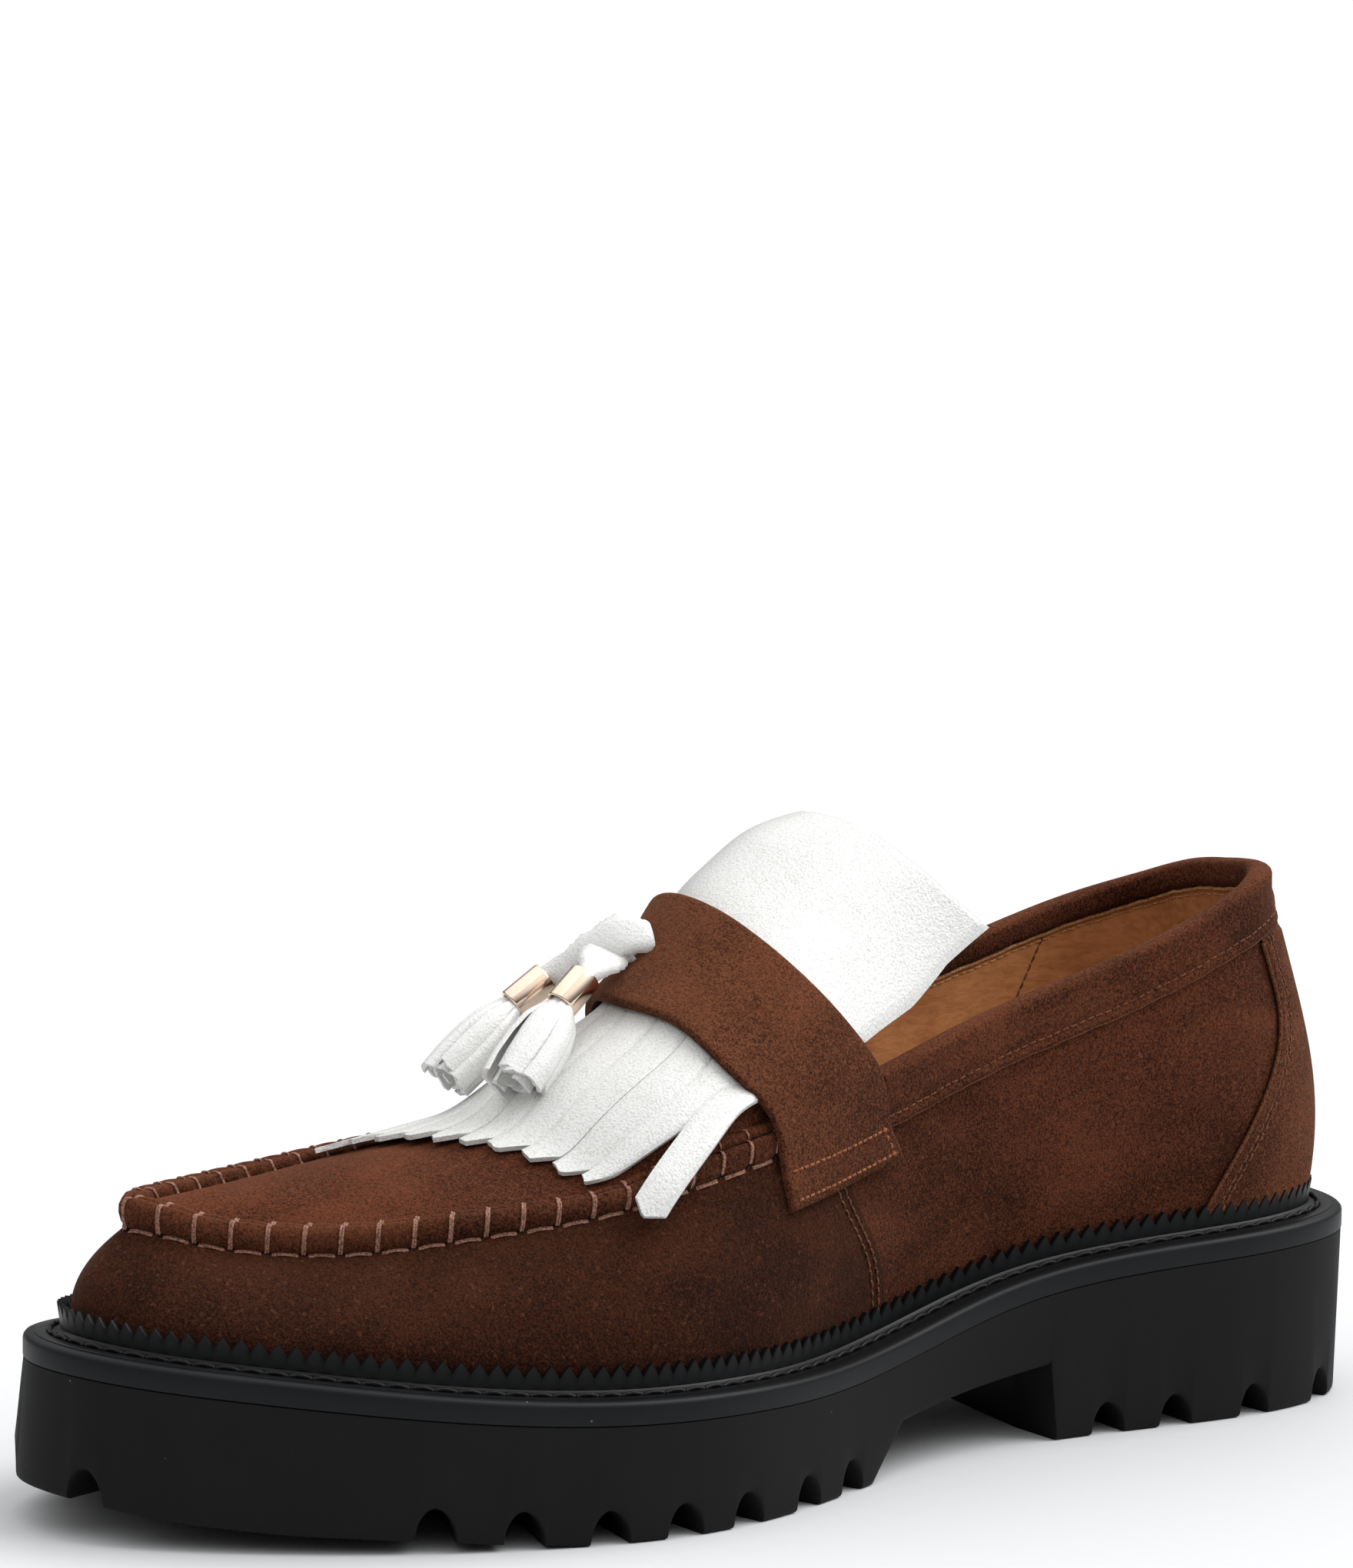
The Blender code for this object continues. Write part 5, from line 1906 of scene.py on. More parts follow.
@dataclass
class Collar:
    """Folded binding over the collar edge and the stitching inside it."""

    end: float = 0.4312
    count: int = 150
    heel_slim: float = 0.36
    heel_reach: float = 0.055
    wave: float = 0.12
    waves: Pair = (210.0, 83.0)
    fold: float = 1.45
    inner_leg: float = 3.4
    # outer leg of the strip: distance down, gap to the wall
    legs: Table = (
        (8.9, 0.25), (9.1, 0.8), (8.75, 1.28), (8.0, 1.30), (7.1, 0.88), (6.2, 1.38), (4.8, 1.55),
        (3.0, 1.50), (1.4, 1.46))
    # inner leg: share of its length, more distance down, gap to the lining
    inner_rows: Table = (
        (0.4, 0.0, 1.4), (0.75, 0.0, 1.3), (1.0, -0.3, 1.15), (1.0, 0.0, 0.7),
        (1.0, -0.1, 0.3), (0.0, 0.6, 0.25))
    # lines on the collar: distance down, gap to the wall
    stitch_line: Pair = (7.1, 1.0)
    raw_line: Pair = (9.0, 0.65)
    pipe_line: Pair = (3.9, 0.3)
    lining_line: Pair = (5.1, 0.05)
    raw: float = 0.38
    pipe: float = 0.45
    stitch: Stitch = Stitch(2.0, 1.4, 0.2, 0.2)
    lining_stitch: Stitch = Stitch(2.0, 1.5, 0.17, 0.2)
    # side seam of the lining: first and last distance down, share at the top, lean
    side_seam: Tuple[float, float, float, float] = (5.3, 40.0, 0.1967, 0.0017)
    side_stitch: Stitch = Stitch(1.9, 1.5, 0.2, 0.2)

    def loop(self, d: float, out: float, lift: float = 0.0) -> Array:
        """Line at a distance down the collar, from one strap end round the heel to the other.

        Args:
            d: distance down from the edge.
            out: distance out of the wall.
            lift: height added.

        Returns:
            Points.
        """
        u = self.end * np.linspace(0, 1, self.count) ** 1.1
        wave = self.wave * np.sin(u * self.waves[0]) * np.sin(u * self.waves[1] + 1.0) * (d > 2)
        slim = 1 - self.heel_slim * (out > 0) * np.exp(-(u / self.heel_reach) ** 2)
        part = {s: LAST.below(s, u, d * slim + wave, out) + UP * lift for s in SIDES}
        return np.vstack([part[OUTER][::-1], part[INNER][1:]])

    def body(self) -> Solid:
        """The folded strip as one closed solid.

        Returns:
            The solid.
        """
        half = WALL / 2
        rings = [self.loop(d, gap) for d, gap in self.legs]
        for turn in np.linspace(0.0, np.pi, 9):
            rings.append(self.loop(0.0, -half + (half + self.fold) * np.cos(turn), self.fold * np.sin(turn)))
        rings += [self.loop(self.inner_leg * q + more, -WALL - gap) for q, more, gap in self.inner_rows]
        return lengthwise(rings + [self.loop(0.3, -half, 0.2), self.loop(1.0, 0.3)])

    def outside(self, d: float, gap: float) -> List[Run]:
        """Line on the outside of the collar."""
        return [surface_line(lambda k: self.loop(d, gap + k))]

    def inside(self, d: float, gap: float) -> List[Run]:
        """Line on the lining below the collar."""
        return [surface_line(lambda k: self.loop(d, -WALL - gap - k))]

    def build(self, bench: Bench, needle: Needle) -> None:
        """Make the binding, its stitches, the piping and the lining stitches.

        Args:
            bench: where pieces are made.
            needle: the sewing kit.
        """
        body, row = self.body(), self.outside(*self.stitch_line)
        bench.piece("folded_binding", body, [Finish.BOUND_SUEDE], "suede", ["collar_binding"], sharp=70)
        needle.row("binding_stitches", row, Finish.DULL_THREAD, "suede", self.stitch)
        needle.lay("binding_raw_edge", self.outside(*self.raw_line), Finish.RAW_EDGE, "suede", self.raw)
        lining = Finish.TAN_THREAD, "insole_leather"
        needle.lay("lining_piping", self.inside(*self.pipe_line), *lining, self.pipe)
        needle.row("lining_stitches", self.inside(*self.lining_line), *lining, self.lining_stitch)
        first, last, share, lean = self.side_seam
        d = np.linspace(first, last, 40)
        seam = surface_line(lambda k: LAST.below(INNER, share + lean * d, d, -WALL - 0.04 - k))
        needle.row("lining_side_seam", [seam], Finish.BROWN_THREAD, "insole_leather", self.side_stitch)


@dataclass
class Counter:
    """Suede overlay round the back of the heel."""

    count: int = 90
    rows: int = 60
    top: float = 0.905
    thick: float = 0.95
    gap: float = 0.45
    edge_round: float = 1.1
    # trough of the stitches: depth, distance from the edge, reach
    trough: Triple = (0.3, 3.1, 1.0)
    # thinning under the binding: height shares, share taken off
    tuck: Triple = (0.872, 0.895, 0.5)
    # front edge: height share of the wall, share along the sole
    edge: Table = (
        (0.0, 0.197), (0.07, 0.190), (0.28, 0.1647), (0.45, 0.146), (0.657, 0.1323), (0.80, 0.1371),
        (0.893, 0.143))
    stitch_rows: Pair = (2.5, 3.8)
    stitch: Stitch = Stitch(2.2, 1.75, 0.2, 0.25)
    raw: float = 0.42

    def body(self) -> Solid:
        """Sheet with a rounded front edge.

        Returns:
            The solid.
        """
        front = curve(self.edge)
        depth, middle, reach = self.trough
        lo, hi, thinner = self.tuck
        tops, lows = [], []
        for v in np.linspace(0.0, self.top, self.rows):
            w = float(front(v)) * (1 - np.linspace(0, 1, self.count) ** 1.6)
            back = (w[0] - w) * SIDE_MM
            crest = self.thick * rounded(back / self.edge_round, 0.35)
            crest = crest - depth * np.exp(-((back - middle) / reach) ** 2)
            crest = crest * (1 - thinner * smooth(lo, hi, v))
            for sheet, out in ((tops, self.gap + crest), (lows, self.gap - 0.1 + 0 * crest)):
                a = LAST.wall(OUTER, w, v, out)
                b = LAST.wall(INNER, w[::-1][1:], v, out[::-1][1:])
                sheet.append(np.vstack([a, b]))
        return layered(tops, lows)

    def build(self, bench: Bench, needle: Needle) -> None:
        """Make the overlay, its raw front edge and its two rows of stitches.

        Args:
            bench: where pieces are made.
            needle: the sewing kit.
        """
        # the heel overlay takes the lighter copy of the suede: painted light
        bench.piece("heel_overlay", self.body(), [Finish.STRAP_SUEDE], "suede", ["heel_counter"], sharp=60)
        front = curve(self.edge)
        v = np.linspace(0.0, 0.89, 90)
        rims = [surface_line(lambda d: LAST.wall(side, front(v), v, self.gap + 0.35 + d)) for side in SIDES]
        needle.lay("counter_raw_edge", rims, Finish.RAW_EDGE, "suede", self.raw)
        v = np.linspace(0.03, 0.885, 90)
        out = self.gap + self.thick - 0.22
        runs = [surface_line(lambda d: LAST.wall(side, front(v) - back / SIDE_MM, v, out + d))
                for side in SIDES for back in self.stitch_rows]
        needle.row("counter_stitches", runs, Finish.BROWN_THREAD, "suede", self.stitch)


@dataclass
class Strap:
    """Saddle strap over the instep with stitched ends."""

    rear: float = 0.4404
    front: float = 0.526
    draw: float = 0.0100
    front_draw: float = 0.0094
    waist: float = 0.0065
    waist_at: Pair = (0.4, 0.25)
    crest: float = 0.9
    crest_span: Pair = (0.25, 0.8)
    reach: float = 1.665
    thick: float = 1.5
    over_flap: float = 2.5
    over_wall: float = 0.7
    across: int = 240
    rows: int = 26
    long: float = 27.0
    wide: float = 30.0
    edge_round: float = 0.9
    # soft hollows and swells: share of the width, section position, reach along, reach across, depth
    dents: Table = (
        (0.55, 0.62, 0.30, 0.16, -0.55), (0.35, 0.95, 0.35, 0.12, 0.45), (0.7, 1.18, 0.3, 0.09, -0.35),
        (0.4, 0.25, 0.4, 0.2, 0.25), (0.6, -0.6, 0.35, 0.2, -0.4), (0.3, -0.95, 0.35, 0.15, 0.35))
    hem: float = 0.075
    box: Pair = (0.06, 0.235)
    stitch: Stitch = Stitch(1.5, 0.85, 0.27, 0.2)

    def share(self, w: Array, a: Array) -> Array:
        """Share along the sole at a share of the strap's width.

        Args:
            w: shares of the strap's width.
            a: section positions.

        Returns:
            Shares.
        """
        back, flare = smooth(0.4, 1.3, np.abs(a)), smooth(1.35, self.reach, np.abs(a))
        middle, wide = self.waist_at
        rear = self.rear - self.draw * (back + flare)
        front = self.front - self.front_draw * back - self.waist * np.exp(-((np.abs(a) - middle) / wide) ** 2)
        return rear + (front - rear) * w

    def rise(self, a: Array) -> Array:
        """Rise of the strap along its middle."""
        return self.crest * (1 - smooth(*self.crest_span, np.abs(a)))

    def height(self, w: Array, a: Array) -> Array:
        """Height of the upper face over the instep surface.

        Args:
            w: shares of the strap's width.
            a: section positions.

        Returns:
            Heights.
        """
        edge = np.minimum(np.minimum(w, 1 - w) * self.long, (self.reach - np.abs(a)) * self.wide)
        dents = smooth(0.0, 3.0, edge) * dented(self.dents, w, a)
        top = self.thick * rounded(edge / self.edge_round, 0.55) + dents
        return self.floor(a) + 0.6 * self.rise(a) + top

    def floor(self, a: Array) -> Array:
        """Height of the under face."""
        fall = (self.over_wall - self.over_flap) * smooth(0.97, 1.12, np.abs(a))
        return self.over_flap + 0.4 * self.rise(a) + fall

    def body(self) -> Solid:
        """Strap as a closed sheet.

        Returns:
            The solid.
        """
        edge = np.array([0.0, 0.006, 0.014, 0.024, 0.036])
        end, plain = edge[:4] * 0.8, self.reach - 0.045
        w = np.r_[edge, np.linspace(0.06, 0.94, self.rows), 1 - edge[::-1]]
        a = np.r_[-self.reach + end, np.linspace(-plain, plain, self.across), self.reach - end[::-1]]
        ww, aa = (q.ravel() for q in np.meshgrid(w, a, indexing="ij"))
        uu = self.share(ww, aa)
        top = self.drape(LAST.lifted(uu, aa, self.height(ww, aa)), a)
        low = self.drape(LAST.lifted(uu, aa, self.floor(aa)), a)
        return layered(top, low)

    @staticmethod
    def drape(points: Array, a: Array, rounds: int = 90) -> Array:
        """Let the sheet hang in a soft curve over the edge of the upper.

        Args:
            points: rows of points across the strap.
            a: section positions.
            rounds: how often it is eased.

        Returns:
            The rows, eased.
        """
        p = points.reshape(-1, len(a), 3)
        hold = (smooth(0.75, 0.95, np.abs(a)) * (1 - smooth(1.36, 1.5, np.abs(a))))[None, 1:-1, None]
        for _ in range(rounds):
            p[:, 1:-1] += 0.5 * hold * ((p[:, :-2] + p[:, 2:]) / 2 - p[:, 1:-1])
        return p

    def line(self, w: Array, a: Array) -> Run:
        """Line on the upper face."""
        return surface_line(lambda d: LAST.lifted(self.share(w, a), a, self.height(w, a) - 0.03 + d))

    def build(self, bench: Bench, needle: Needle) -> None:
        """Make the strap and the stitched boxes at its ends.

        Args:
            bench: where pieces are made.
            needle: the sewing kit.
        """
        # the strap takes the lighter copy of the suede: painted light
        bench.piece("saddle_strap", self.body(), [Finish.STRAP_SUEDE], "suede", ["strap"], sharp=55)
        lo, hi = self.hem, 1 - self.hem
        low, high = (self.reach - d for d in self.box)
        sides = ((lo, low, hi, low), (hi, high, lo, high), (lo, high, lo, low))
        runs = [self.line(np.linspace(w0, w1, 40), side * np.linspace(a0, a1, 40))
                for side in SIDES for w0, a0, w1, a1 in sides]
        needle.row("strap_stitches", runs, Finish.COPPER_THREAD, "suede", self.stitch)


@dataclass
class Kiltie:
    """White flap behind the strap and its cut fringe in front."""

    slit: float = 0.498
    low: float = 0.45
    thick: float = 1.4
    gap: float = 0.003
    flap_rows: int = 60
    flap_cols: int = 96
    flap_long: float = 55.0
    flap_half: float = 40.0
    strip_rows: int = 44
    strip_cols: int = 8
    # slits of the fringe: section position at the strap and at the cut end
    slits: Table = (
        (-0.93, -0.80), (-0.83, -0.64), (-0.73, -0.50), (-0.62, -0.36), (-0.50, -0.22), (-0.38, -0.09),
        (-0.18, 0.03), (0.0175, 0.15), (0.228, 0.32), (0.4185, 0.49), (0.585, 0.70), (0.785, 0.93))
    # side edge of the flap: share of the flap's length from its rear edge, section position
    flap_side: Table = ((0.0, 0.842), (0.2, 0.866), (0.4, 0.92), (0.62, 0.95), (0.80, 0.95), (1.0, 0.965))
    # rear edge of the flap: section position, share
    flap_edge: Table = (
        (-1.0, 0.318), (-0.75, 0.331), (-0.4, 0.343), (0.0, 0.347), (0.4, 0.333), (0.75, 0.320), (1.0, 0.307))
    # front ends of the fringe: section position, share
    fringe_end: Table = (
        (-0.95, 0.752), (-0.80, 0.750), (-0.64, 0.744), (-0.50, 0.734), (-0.36, 0.720), (-0.22, 0.706),
        (-0.09, 0.694), (0.03, 0.684), (0.15, 0.673), (0.32, 0.664), (0.49, 0.657),
        (0.70, 0.651), (0.95, 0.644))
    # middle of the strip that hangs over the toe seam: offset, station, height, and the way its face looks
    loose: Table = (
        (29.9, 155.6, 73.6, 0.50, -0.15, 0.85), (31.6, 161.0, 72.2, 0.50, -0.2, 0.84),
        (34.6, 168.4, 68.0, 0.55, -0.3, 0.78), (36.8, 174.8, 63.4, 0.70, -0.42, 0.58),
        (38.2, 180.2, 58.8, 0.80, -0.5, 0.33), (38.5, 182.4, 56.4, 0.82, -0.5, 0.28))
    loose_width: float = 6.6
    # cut end of that strip: share of its width, extra length
    loose_cut: Table = ((0.0, 0.2), (0.55, 2.6), (1.0, 0.0))
    roll: float = 2.0
    roll_long: float = 0.006
    swell: float = 0.5
    flap_seed: int = 7
    fringe_seed: int = 21

    def flap(self) -> Solid:
        """Flap as a closed sheet with a rolled, rough cut rear edge.

        Returns:
            The solid.
        """
        t = np.linspace(-1, 1, self.flap_cols + 1)
        rear = curve(self.flap_edge)
        rough = ragged(np.random.default_rng(self.flap_seed), 0.5, len(t)) * 0.35 / SIDE_MM
        tops, lows = [], []
        for q in np.linspace(0, 1, self.flap_rows) ** 1.1:
            a = read(self.flap_side, q) * t
            middle = 1 - smooth(0.2, 0.7, a)
            start = rear(a) - self.roll_long * middle + rough
            u = start + (self.slit - start) * q
            edge = np.minimum(q * self.flap_long, (1 - np.abs(t)) * self.flap_half)
            swell = self.swell * np.sin(np.pi * min(2.2 * q, 1.0)) ** 2
            low = self.low + middle * (swell - self.roll * (1 - min(3.4 * q, 1.0)) ** 2)
            tops.append(LAST.lifted(u, a, low + self.thick * rounded(edge / 0.8, 0.6)))
            lows.append(LAST.lifted(u, a, low))
        return layered(tops, lows)

    def strip(self, i: int, rng: np.random.Generator) -> Solid:
        """One strip of the fringe with a blunt pointed end.

        Args:
            i: number of the strip.
            rng: source of random numbers.

        Returns:
            The solid.
        """
        (start0, end0), (start1, end1) = self.slits[i], self.slits[i + 1]
        reach = read(self.fringe_end, (end0, end1))
        t = np.linspace(0, 1, self.strip_cols + 1)
        point, tall, fall = rng.uniform(0.52, 0.64), rng.uniform(2.8, 3.4), rng.uniform(2.8, 3.6)
        cut = np.where(t < point, tall * t / point, tall - (tall + fall) * (t - point) / (1 - point))
        cut = cut + rng.normal(0, 0.1, len(t))
        stop = reach[0] + (reach[1] - reach[0]) * t + cut / SIDE_MM
        camber = rng.uniform(0.0, 0.2)
        lift = 0.16 * (i % 3) + 0.45 * (i < 5)
        thick = self.thick * rounded(np.minimum(t, 1 - t) * 5.0 / 0.6, 0.8)
        tops, lows = [], []
        for q in np.linspace(0, 1, self.strip_rows):
            slit = self.gap * (0.3 + 0.7 * q) * smooth(0.0, 0.06, q)
            a0 = start0 + (end0 - start0) * q + slit
            a1 = start1 + (end1 - start1) * q - slit
            a = a0 + (a1 - a0) * t
            u = self.slit + (stop - self.slit) * q
            low = self.low + lift * q ** 2 + camber * q * 4 * t * (1 - t)
            tops.append(LAST.lifted(u, a, low + thick * (1 - 0.35 * q ** 3)))
            lows.append(LAST.lifted(u, a, low))
        return layered(tops, lows)

    def loose_strip(self) -> Solid:
        """The outermost strip, which leaves the fringe and hangs over the toe seam.

        Returns:
            The solid.
        """
        rows = np.array(self.loose)
        path = along([spot(*r[:3]) for r in rows], 40)
        cut = read(self.loose_cut, np.linspace(0, 1, self.strip_cols + 1))
        width = self.loose_width + 0 * path[:, 0]
        return ribbon(path, unit(along(rows[:, 3:], 40)), width, self.thick, 0.15, self.strip_cols, cut)

    def build(self, bench: Bench) -> None:
        """Make the flap and fringe as one piece.

        Args:
            bench: where pieces are made.
        """
        rng = np.random.default_rng(self.fringe_seed)
        solids = [self.flap(), self.loose_strip()] + [self.strip(i, rng) for i in range(len(self.slits) - 1)]
        bench.piece("fringed_flap", joined(solids), [Finish.PEARL], "white_leather", ["kiltie"], sharp=50)


@dataclass
class Tassel:
    """One tassel: ferrule and a skirt of cut strips."""

    name: str
    top: Array
    foot: Array
    end: Array
    seed: int
    ferrule: float = 3.15
    bore: float = 2.6
    neck: float = 2.0
    neck_share: float = 0.1
    flat: Pair = (1.15, 0.72)
    thick: float = 0.95
    steps: int = 22
    across: int = 6
    # core of the skirt: share of the length, radius
    core: Table = ((0.0, 1.4), (0.15, 1.7), (0.35, 2.9), (0.6, 3.3), (0.86, 2.6))
    # layers of strips: number of strips, turn, size, length
    layers: Table = ((8, 0.0, 1.0, 1.0), (5, 0.4, 0.55, 0.98))
    # middle of a strip: share of the length, fixed radius, radius that swells
    radii: Table = (
        (0.0, 1.0, 0.0), (0.10, 1.1, 0.0), (0.16, 1.9, 0.0), (0.32, 0.0, 3.3), (0.55, 0.0, 4.1),
        (0.8, 0.0, 4.3), (1.0, 0.0, 4.0))
    # width and camber of a strip: share of the length, size
    widths: Table = ((0.0, 1.2), (0.1, 1.4), (0.16, 2.4), (0.35, 4.6), (1.0, 5.4))
    puff: Table = ((0.0, 0.1), (0.12, 0.2), (0.4, 0.8), (1.0, 0.95))

    @staticmethod
    def oval(axis: Array, turn: Array, wide: float = 1.0, tall: float = 1.0) -> Array:
        """Directions round an axis, stretched sideways and over it."""
        side = unit(np.cross(axis, UP))
        return np.outer(np.cos(turn), side) * wide + np.outer(np.sin(turn), np.cross(side, axis)) * tall

    def tube(self) -> Solid:
        """Ferrule with rolled lips.

        Returns:
            The solid.
        """
        axis = unit(self.foot - self.top)
        circle = self.oval(axis, np.arange(40) * 2 * np.pi / 40)
        r, b = self.ferrule, self.bore
        lip = [(0.25, b), (0.05, b + 0.15), (0.0, (r + b) / 2), (0.08, r - 0.1), (0.35, r)]
        long = np.linalg.norm(self.foot - self.top)
        profile = lip + [(long - d, q) for d, q in lip[::-1]]
        return facing_out(hoop([self.top + axis * d + circle * q for d, q in profile]))

    def skirt(self) -> Solid:
        """Bundle of folded strips round a core.

        Returns:
            The solid.
        """
        rng = np.random.default_rng(self.seed)
        way = self.end - self.foot
        axis = unit(way)
        neck = self.foot - unit(self.foot - self.top) * self.neck
        oval = self.oval(axis, np.arange(24) * 2 * np.pi / 24, *self.flat)
        solids = [facing_out(capped([neck + (self.end - neck) * q + r * oval for q, r in self.core]))]
        q = np.linspace(0, 1, self.steps)
        share, fixed, loose = np.array(self.radii).T
        in_neck = (q < self.neck_share)[:, None]
        start = neck + np.outer(q / self.neck_share, self.foot - neck)
        hang = (q - self.neck_share) / (1 - self.neck_share)
        for count, ahead, size, long in self.layers:
            for i in range(count):
                turn = 2 * np.pi * (i + ahead + rng.uniform(-0.2, 0.2)) / count
                turn = turn + np.linspace(0, rng.uniform(-0.3, 0.3), self.steps)
                swell = rng.uniform(0.92, 1.1) * size
                spread = self.oval(axis, turn, *self.flat)
                stop = long * rng.uniform(0.93, 1.04)
                path = np.where(in_neck, start, self.foot + np.outer(hang * stop, way))
                path = path + spread * np.interp(q, share, fixed + swell * loose)[:, None]
                widths = read(self.widths, q) * (0.6 + 0.4 * size) * rng.uniform(0.9, 1.1)
                cut = rng.uniform(-0.6, 0.6) * np.linspace(-1, 1, self.across + 1)
                cut = cut + rng.normal(0, 0.18, self.across + 1)
                puff = read(self.puff, q) * size
                solids.append(ribbon(path, unit(spread), widths, self.thick, puff, self.across, cut))
        return joined(solids)

    def build(self, bench: Bench) -> None:
        """Make the ferrule and the skirt.

        Args:
            bench: where pieces are made.
        """
        bench.piece("ferrule_tube_" + self.name, self.tube(), [Finish.FERRULE], "ferrule_metal",
                    ["ferrule_" + self.name], sharp=50)
        bench.piece("tassel_skirt_" + self.name, self.skirt(), [Finish.PEARL_PAINTED_LIGHT], "white_leather",
                    ["skirt_" + self.name], sharp=45)


@dataclass
class Thong:
    """White thong that leaves the strap's slit and folds over to both ferrules."""

    tassels: Sequence[Tassel]
    thick: float = 1.3
    sink: float = 0.9
    steps: int = 44
    across: int = 8
    looks: Triple = (0.62, -0.55, 0.56)
    seeds: Tuple[int, int] = (3, 4)
    # middle of the band to the outer ferrule: offset, station, height, width
    near_band: Table = ((-9.7, 157.0, 96.1, 9.4), (-8.6, 159.8, 94.8, 9.6), (-6.1, 163.8, 92.9, 8.4))
    # middle of the band to the inner ferrule, which lies on top: offset, station, height, width
    far_band: Table = (
        (-3.5, 154.2, 97.8, 5.4), (-4.0, 155.5, 97.7, 8.4), (-6.1, 157.8, 97.9, 8.2),
        (-9.1, 160.6, 96.6, 6.6), (-12.7, 163.2, 94.0, 5.8), (-15.6, 165.3, 91.0, 5.4))
    # ends of both bands at the ferrule: distance into it, width
    ends: Table = ((-0.8, 5.2), (2.0, 3.6))
    # camber: share of the length, height
    crown: Table = ((0.0, 0.5), (0.7, 0.7), (1.0, 1.2))
    fray: float = 0.45
    neat: int = 12

    def band(self, table: Table, tassel: Tassel, seed: int) -> Solid:
        """One band from its table to its ferrule.

        Args:
            table: the band's rows.
            tassel: where it ends.
            seed: seed of its edge.

        Returns:
            The solid.
        """
        way = unit(tassel.foot - tassel.top)
        points = [spot(*row[:3]) for row in table] + [tassel.top + way * d for d, _ in self.ends]
        wide = [row[3] for row in table] + [width for _, width in self.ends]
        q = np.linspace(0, 1, self.steps)
        widths = np.interp(q, np.linspace(0, 1, len(wide)), wide)
        rough = ragged(np.random.default_rng(seed), self.fray, self.steps)
        rough[-self.neat:] *= 0.3
        out = np.tile(unit(np.array(self.looks)), (self.steps, 1))
        path = along(points, self.steps) - out * self.sink
        return ribbon(path, out, widths, self.thick, read(self.crown, q), self.across, None, rough)

    def build(self, bench: Bench) -> None:
        """Make both bands.

        Args:
            bench: where pieces are made.
        """
        tables = self.near_band, self.far_band
        solid = joined([self.band(*band) for band in zip(tables, self.tassels, self.seeds)])
        bench.piece("white_thong", solid, [Finish.PEARL_PAINTED_LIGHT], "white_leather", ["tassel_cord"], sharp=60)


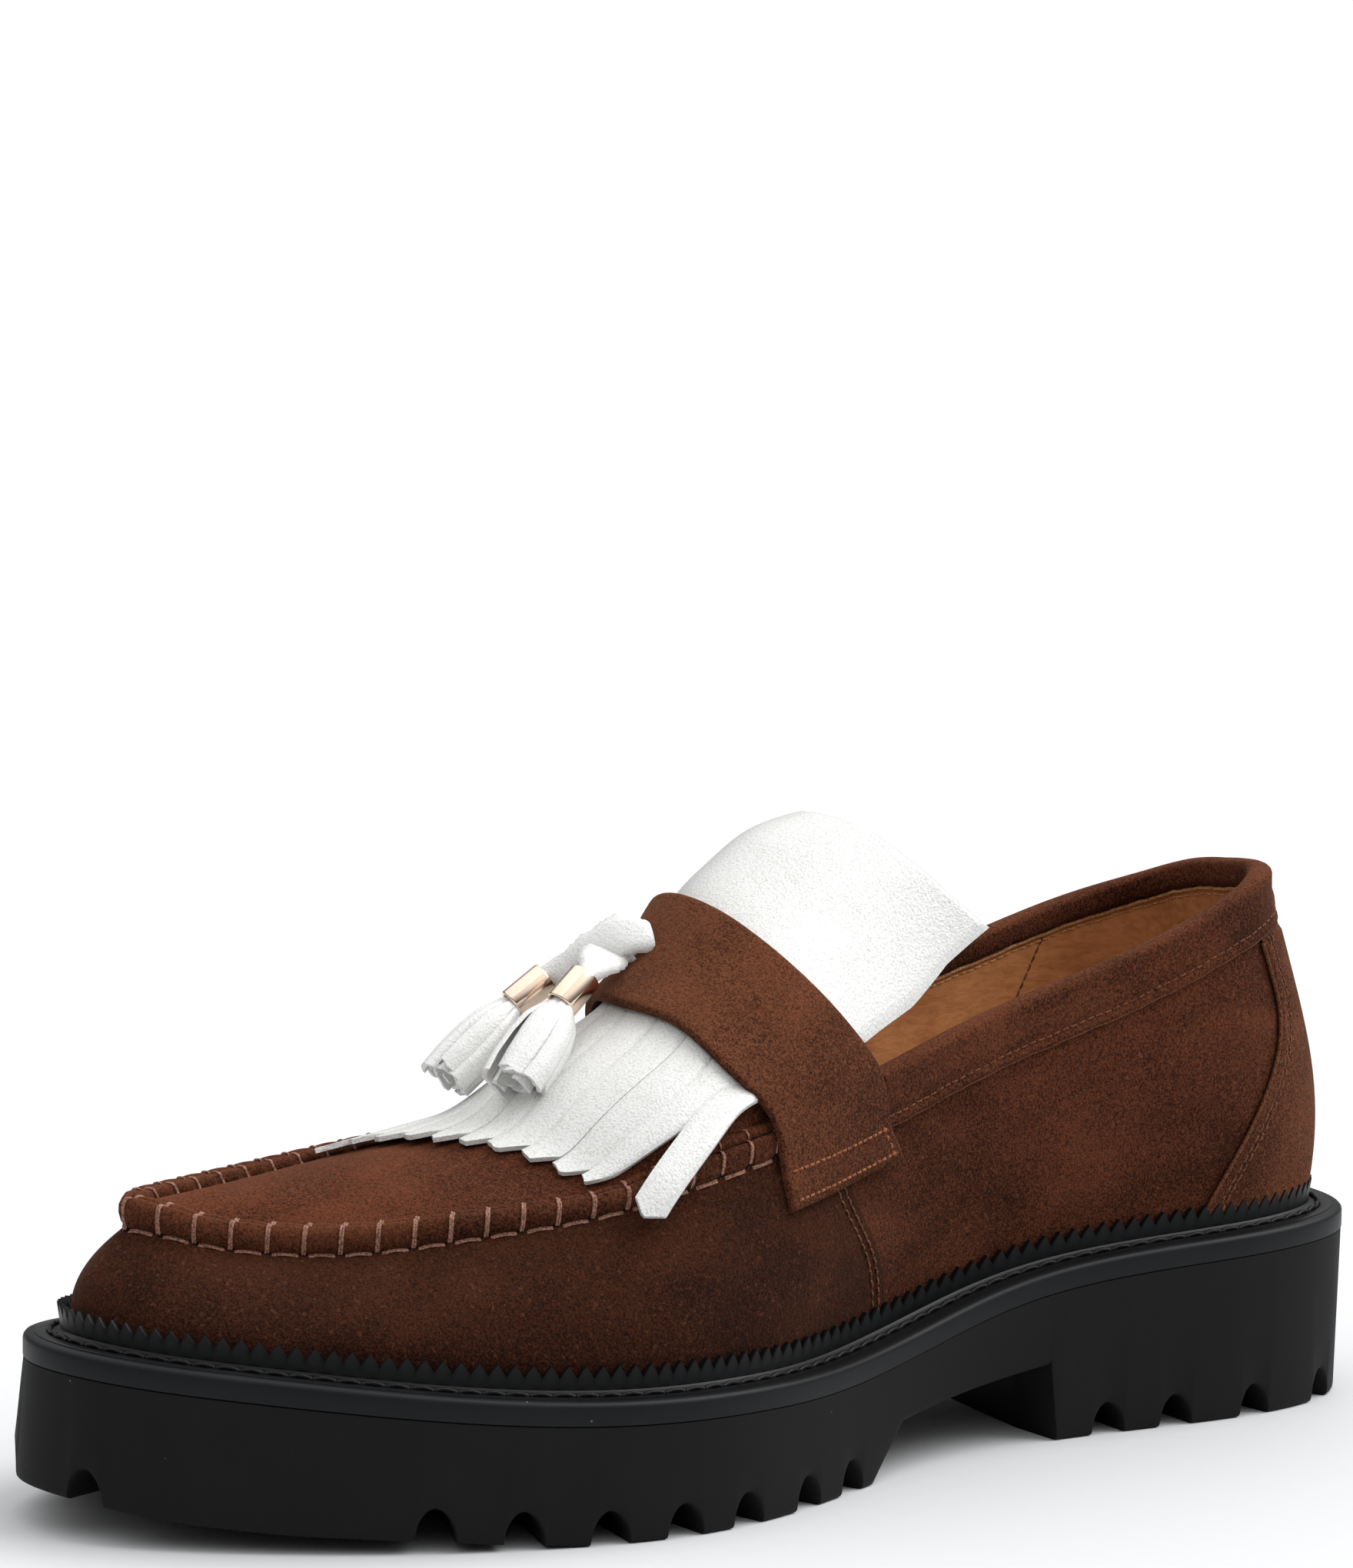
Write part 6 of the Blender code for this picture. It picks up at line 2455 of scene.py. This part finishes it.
@dataclass
class Studio:
    """Camera at the photograph's angle, soft light and a pale floor."""

    azimuth: float = 55.155
    elevation: float = 7.103
    roll: float = 0.8186
    distance: float = 1142.95
    focal_px: float = 7980.6
    frame_px: float = 2040.0
    aim_height: float = 40.0
    aim_side: float = -9.4475
    aim_up: float = 84.8326
    sensor: float = 36.0
    clip: float = 0.01
    # light of the sky low and high, and on its dark and bright side
    sky: Pair = (0.16, 1.28)
    sky_side: Pair = (0.62, 1.0)
    bright_side: Triple = (0.30, 0.81, 0.50)
    backdrop: float = 1.05
    # lights: name, direction they come from, spread in degrees, power
    lights: Tuple[Tuple[str, Triple, float, float], ...] = (
        ("key", (0.38, 0.75, 1.0), 50.0, 2.15), ("fill", (-0.4, -0.5, 1.0), 90.0, 0.6))
    floor_half: float = 6.0

    @staticmethod
    def turned(right: Array, up: Array, back: Array) -> Matrix:
        """Turn of an object that looks against back."""
        return Matrix(np.column_stack([right, up, back]).tolist()).to_4x4()

    def camera(self) -> None:
        """Set the camera."""
        az, el, roll = np.radians([self.azimuth, self.elevation, self.roll])
        back = np.array([np.sin(az) * np.cos(el), -np.cos(az) * np.cos(el), np.sin(el)])
        right = np.array([np.cos(az), np.sin(az), 0.0])
        up = np.cross(back, right)
        right, up = np.cos(roll) * right + np.sin(roll) * up, np.cos(roll) * up - np.sin(roll) * right
        target = UP * self.aim_height + right * self.aim_side + up * self.aim_up
        place = (target + back * self.distance) * MM
        data = bpy.data.cameras.new("camera")
        data.sensor_width = self.sensor
        data.lens = self.focal_px * self.sensor / self.frame_px
        data.clip_start = self.clip
        obj = linked("camera", data)
        obj.matrix_world = Matrix.Translation(place.tolist()) @ self.turned(right, up, back)
        bpy.context.scene.camera = obj

    def sun(self, name: str, from_way: Triple, spread: float, power: float) -> None:
        """Add one wide, even light from a direction.

        Args:
            name: name of the light.
            from_way: where the light comes from.
            spread: its spread in degrees.
            power: its strength.
        """
        data = bpy.data.lights.new(name, "SUN")
        data.angle = float(np.radians(spread))
        data.energy = power
        back = unit(np.array(from_way))
        right = unit(np.cross(np.array([0.0, 1.0, 0.02]), back))
        linked(name, data).matrix_world = self.turned(right, np.cross(back, right), back)

    def world(self) -> bpy.types.World:
        """Soft sky, lighter above and on one side, with an even white backdrop for the camera.

        Returns:
            The world.
        """
        world = bpy.data.worlds.new("studio")
        g = Graph(world)
        way = g.add("ShaderNodeTexCoord", {}, {}, "Generated")
        height = g.add("ShaderNodeSeparateXYZ", {}, {"Vector": way}, "Z")
        sides = {0: way, 1: self.bright_side}
        bright = g.add("ShaderNodeVectorMath", {"operation": "DOT_PRODUCT"}, sides, "Value")
        seen = g.add("ShaderNodeLightPath", {}, {}, "Is Camera Ray")
        light = height.step(0.10, 0.72, *self.sky) * bright.step(-0.6, 0.9, *self.sky_side)
        g.finish(color=(1.0, 1.0, 1.0), strength=light * (1.0 - seen) + seen * self.backdrop)
        return world

    def floor(self) -> None:
        """Lay the floor."""
        mesh = bpy.data.meshes.new("floor")
        half = self.floor_half
        corners = [(-half, -half, 0.0), (half, -half, 0.0), (half, half, 0.0), (-half, half, 0.0)]
        mesh.from_pydata(corners, [], [(0, 1, 2, 3)])
        mesh.materials.append(StudioFloor("studio_paper").material())
        linked("floor", mesh)

    def build(self) -> None:
        """Camera, world, lights and floor."""
        self.camera()
        bpy.context.scene.view_settings.view_transform = "Standard"
        bpy.context.scene.world = self.world()
        for light in self.lights:
            self.sun(*light)
        self.floor()


# tassels: top and foot of the ferrule, end of the skirt, seed of the strips
TASSELS = {
    "outer": (spot(-3.4, 168.6, 91.1), spot(-2.7, 174.5, 86.2), spot(1.7, 187.6, 73.2), 11),
    "inner": (spot(-18.0, 167.5, 88.8), spot(-19.6, 174.0, 83.8), spot(-20.9, 188.2, 71.0), 17),
}


def main() -> None:
    """Build every sub-assembly in order."""
    logging.basicConfig(level=logging.INFO, format="%(message)s")
    Studio().build()
    bench = Bench()
    needle = Needle(bench)
    for sewn in (SoleUnit, Upper, ToeSeam, Counter, Collar, Strap):
        sewn().build(bench, needle)
    Kiltie().build(bench)
    tassels = [Tassel(name, *row) for name, row in TASSELS.items()]
    for tassel in tassels:
        tassel.build(bench)
    Thong(tassels).build(bench)
    LOG.info("%d pieces", bench.count)


if __name__ == "__main__":
    main()
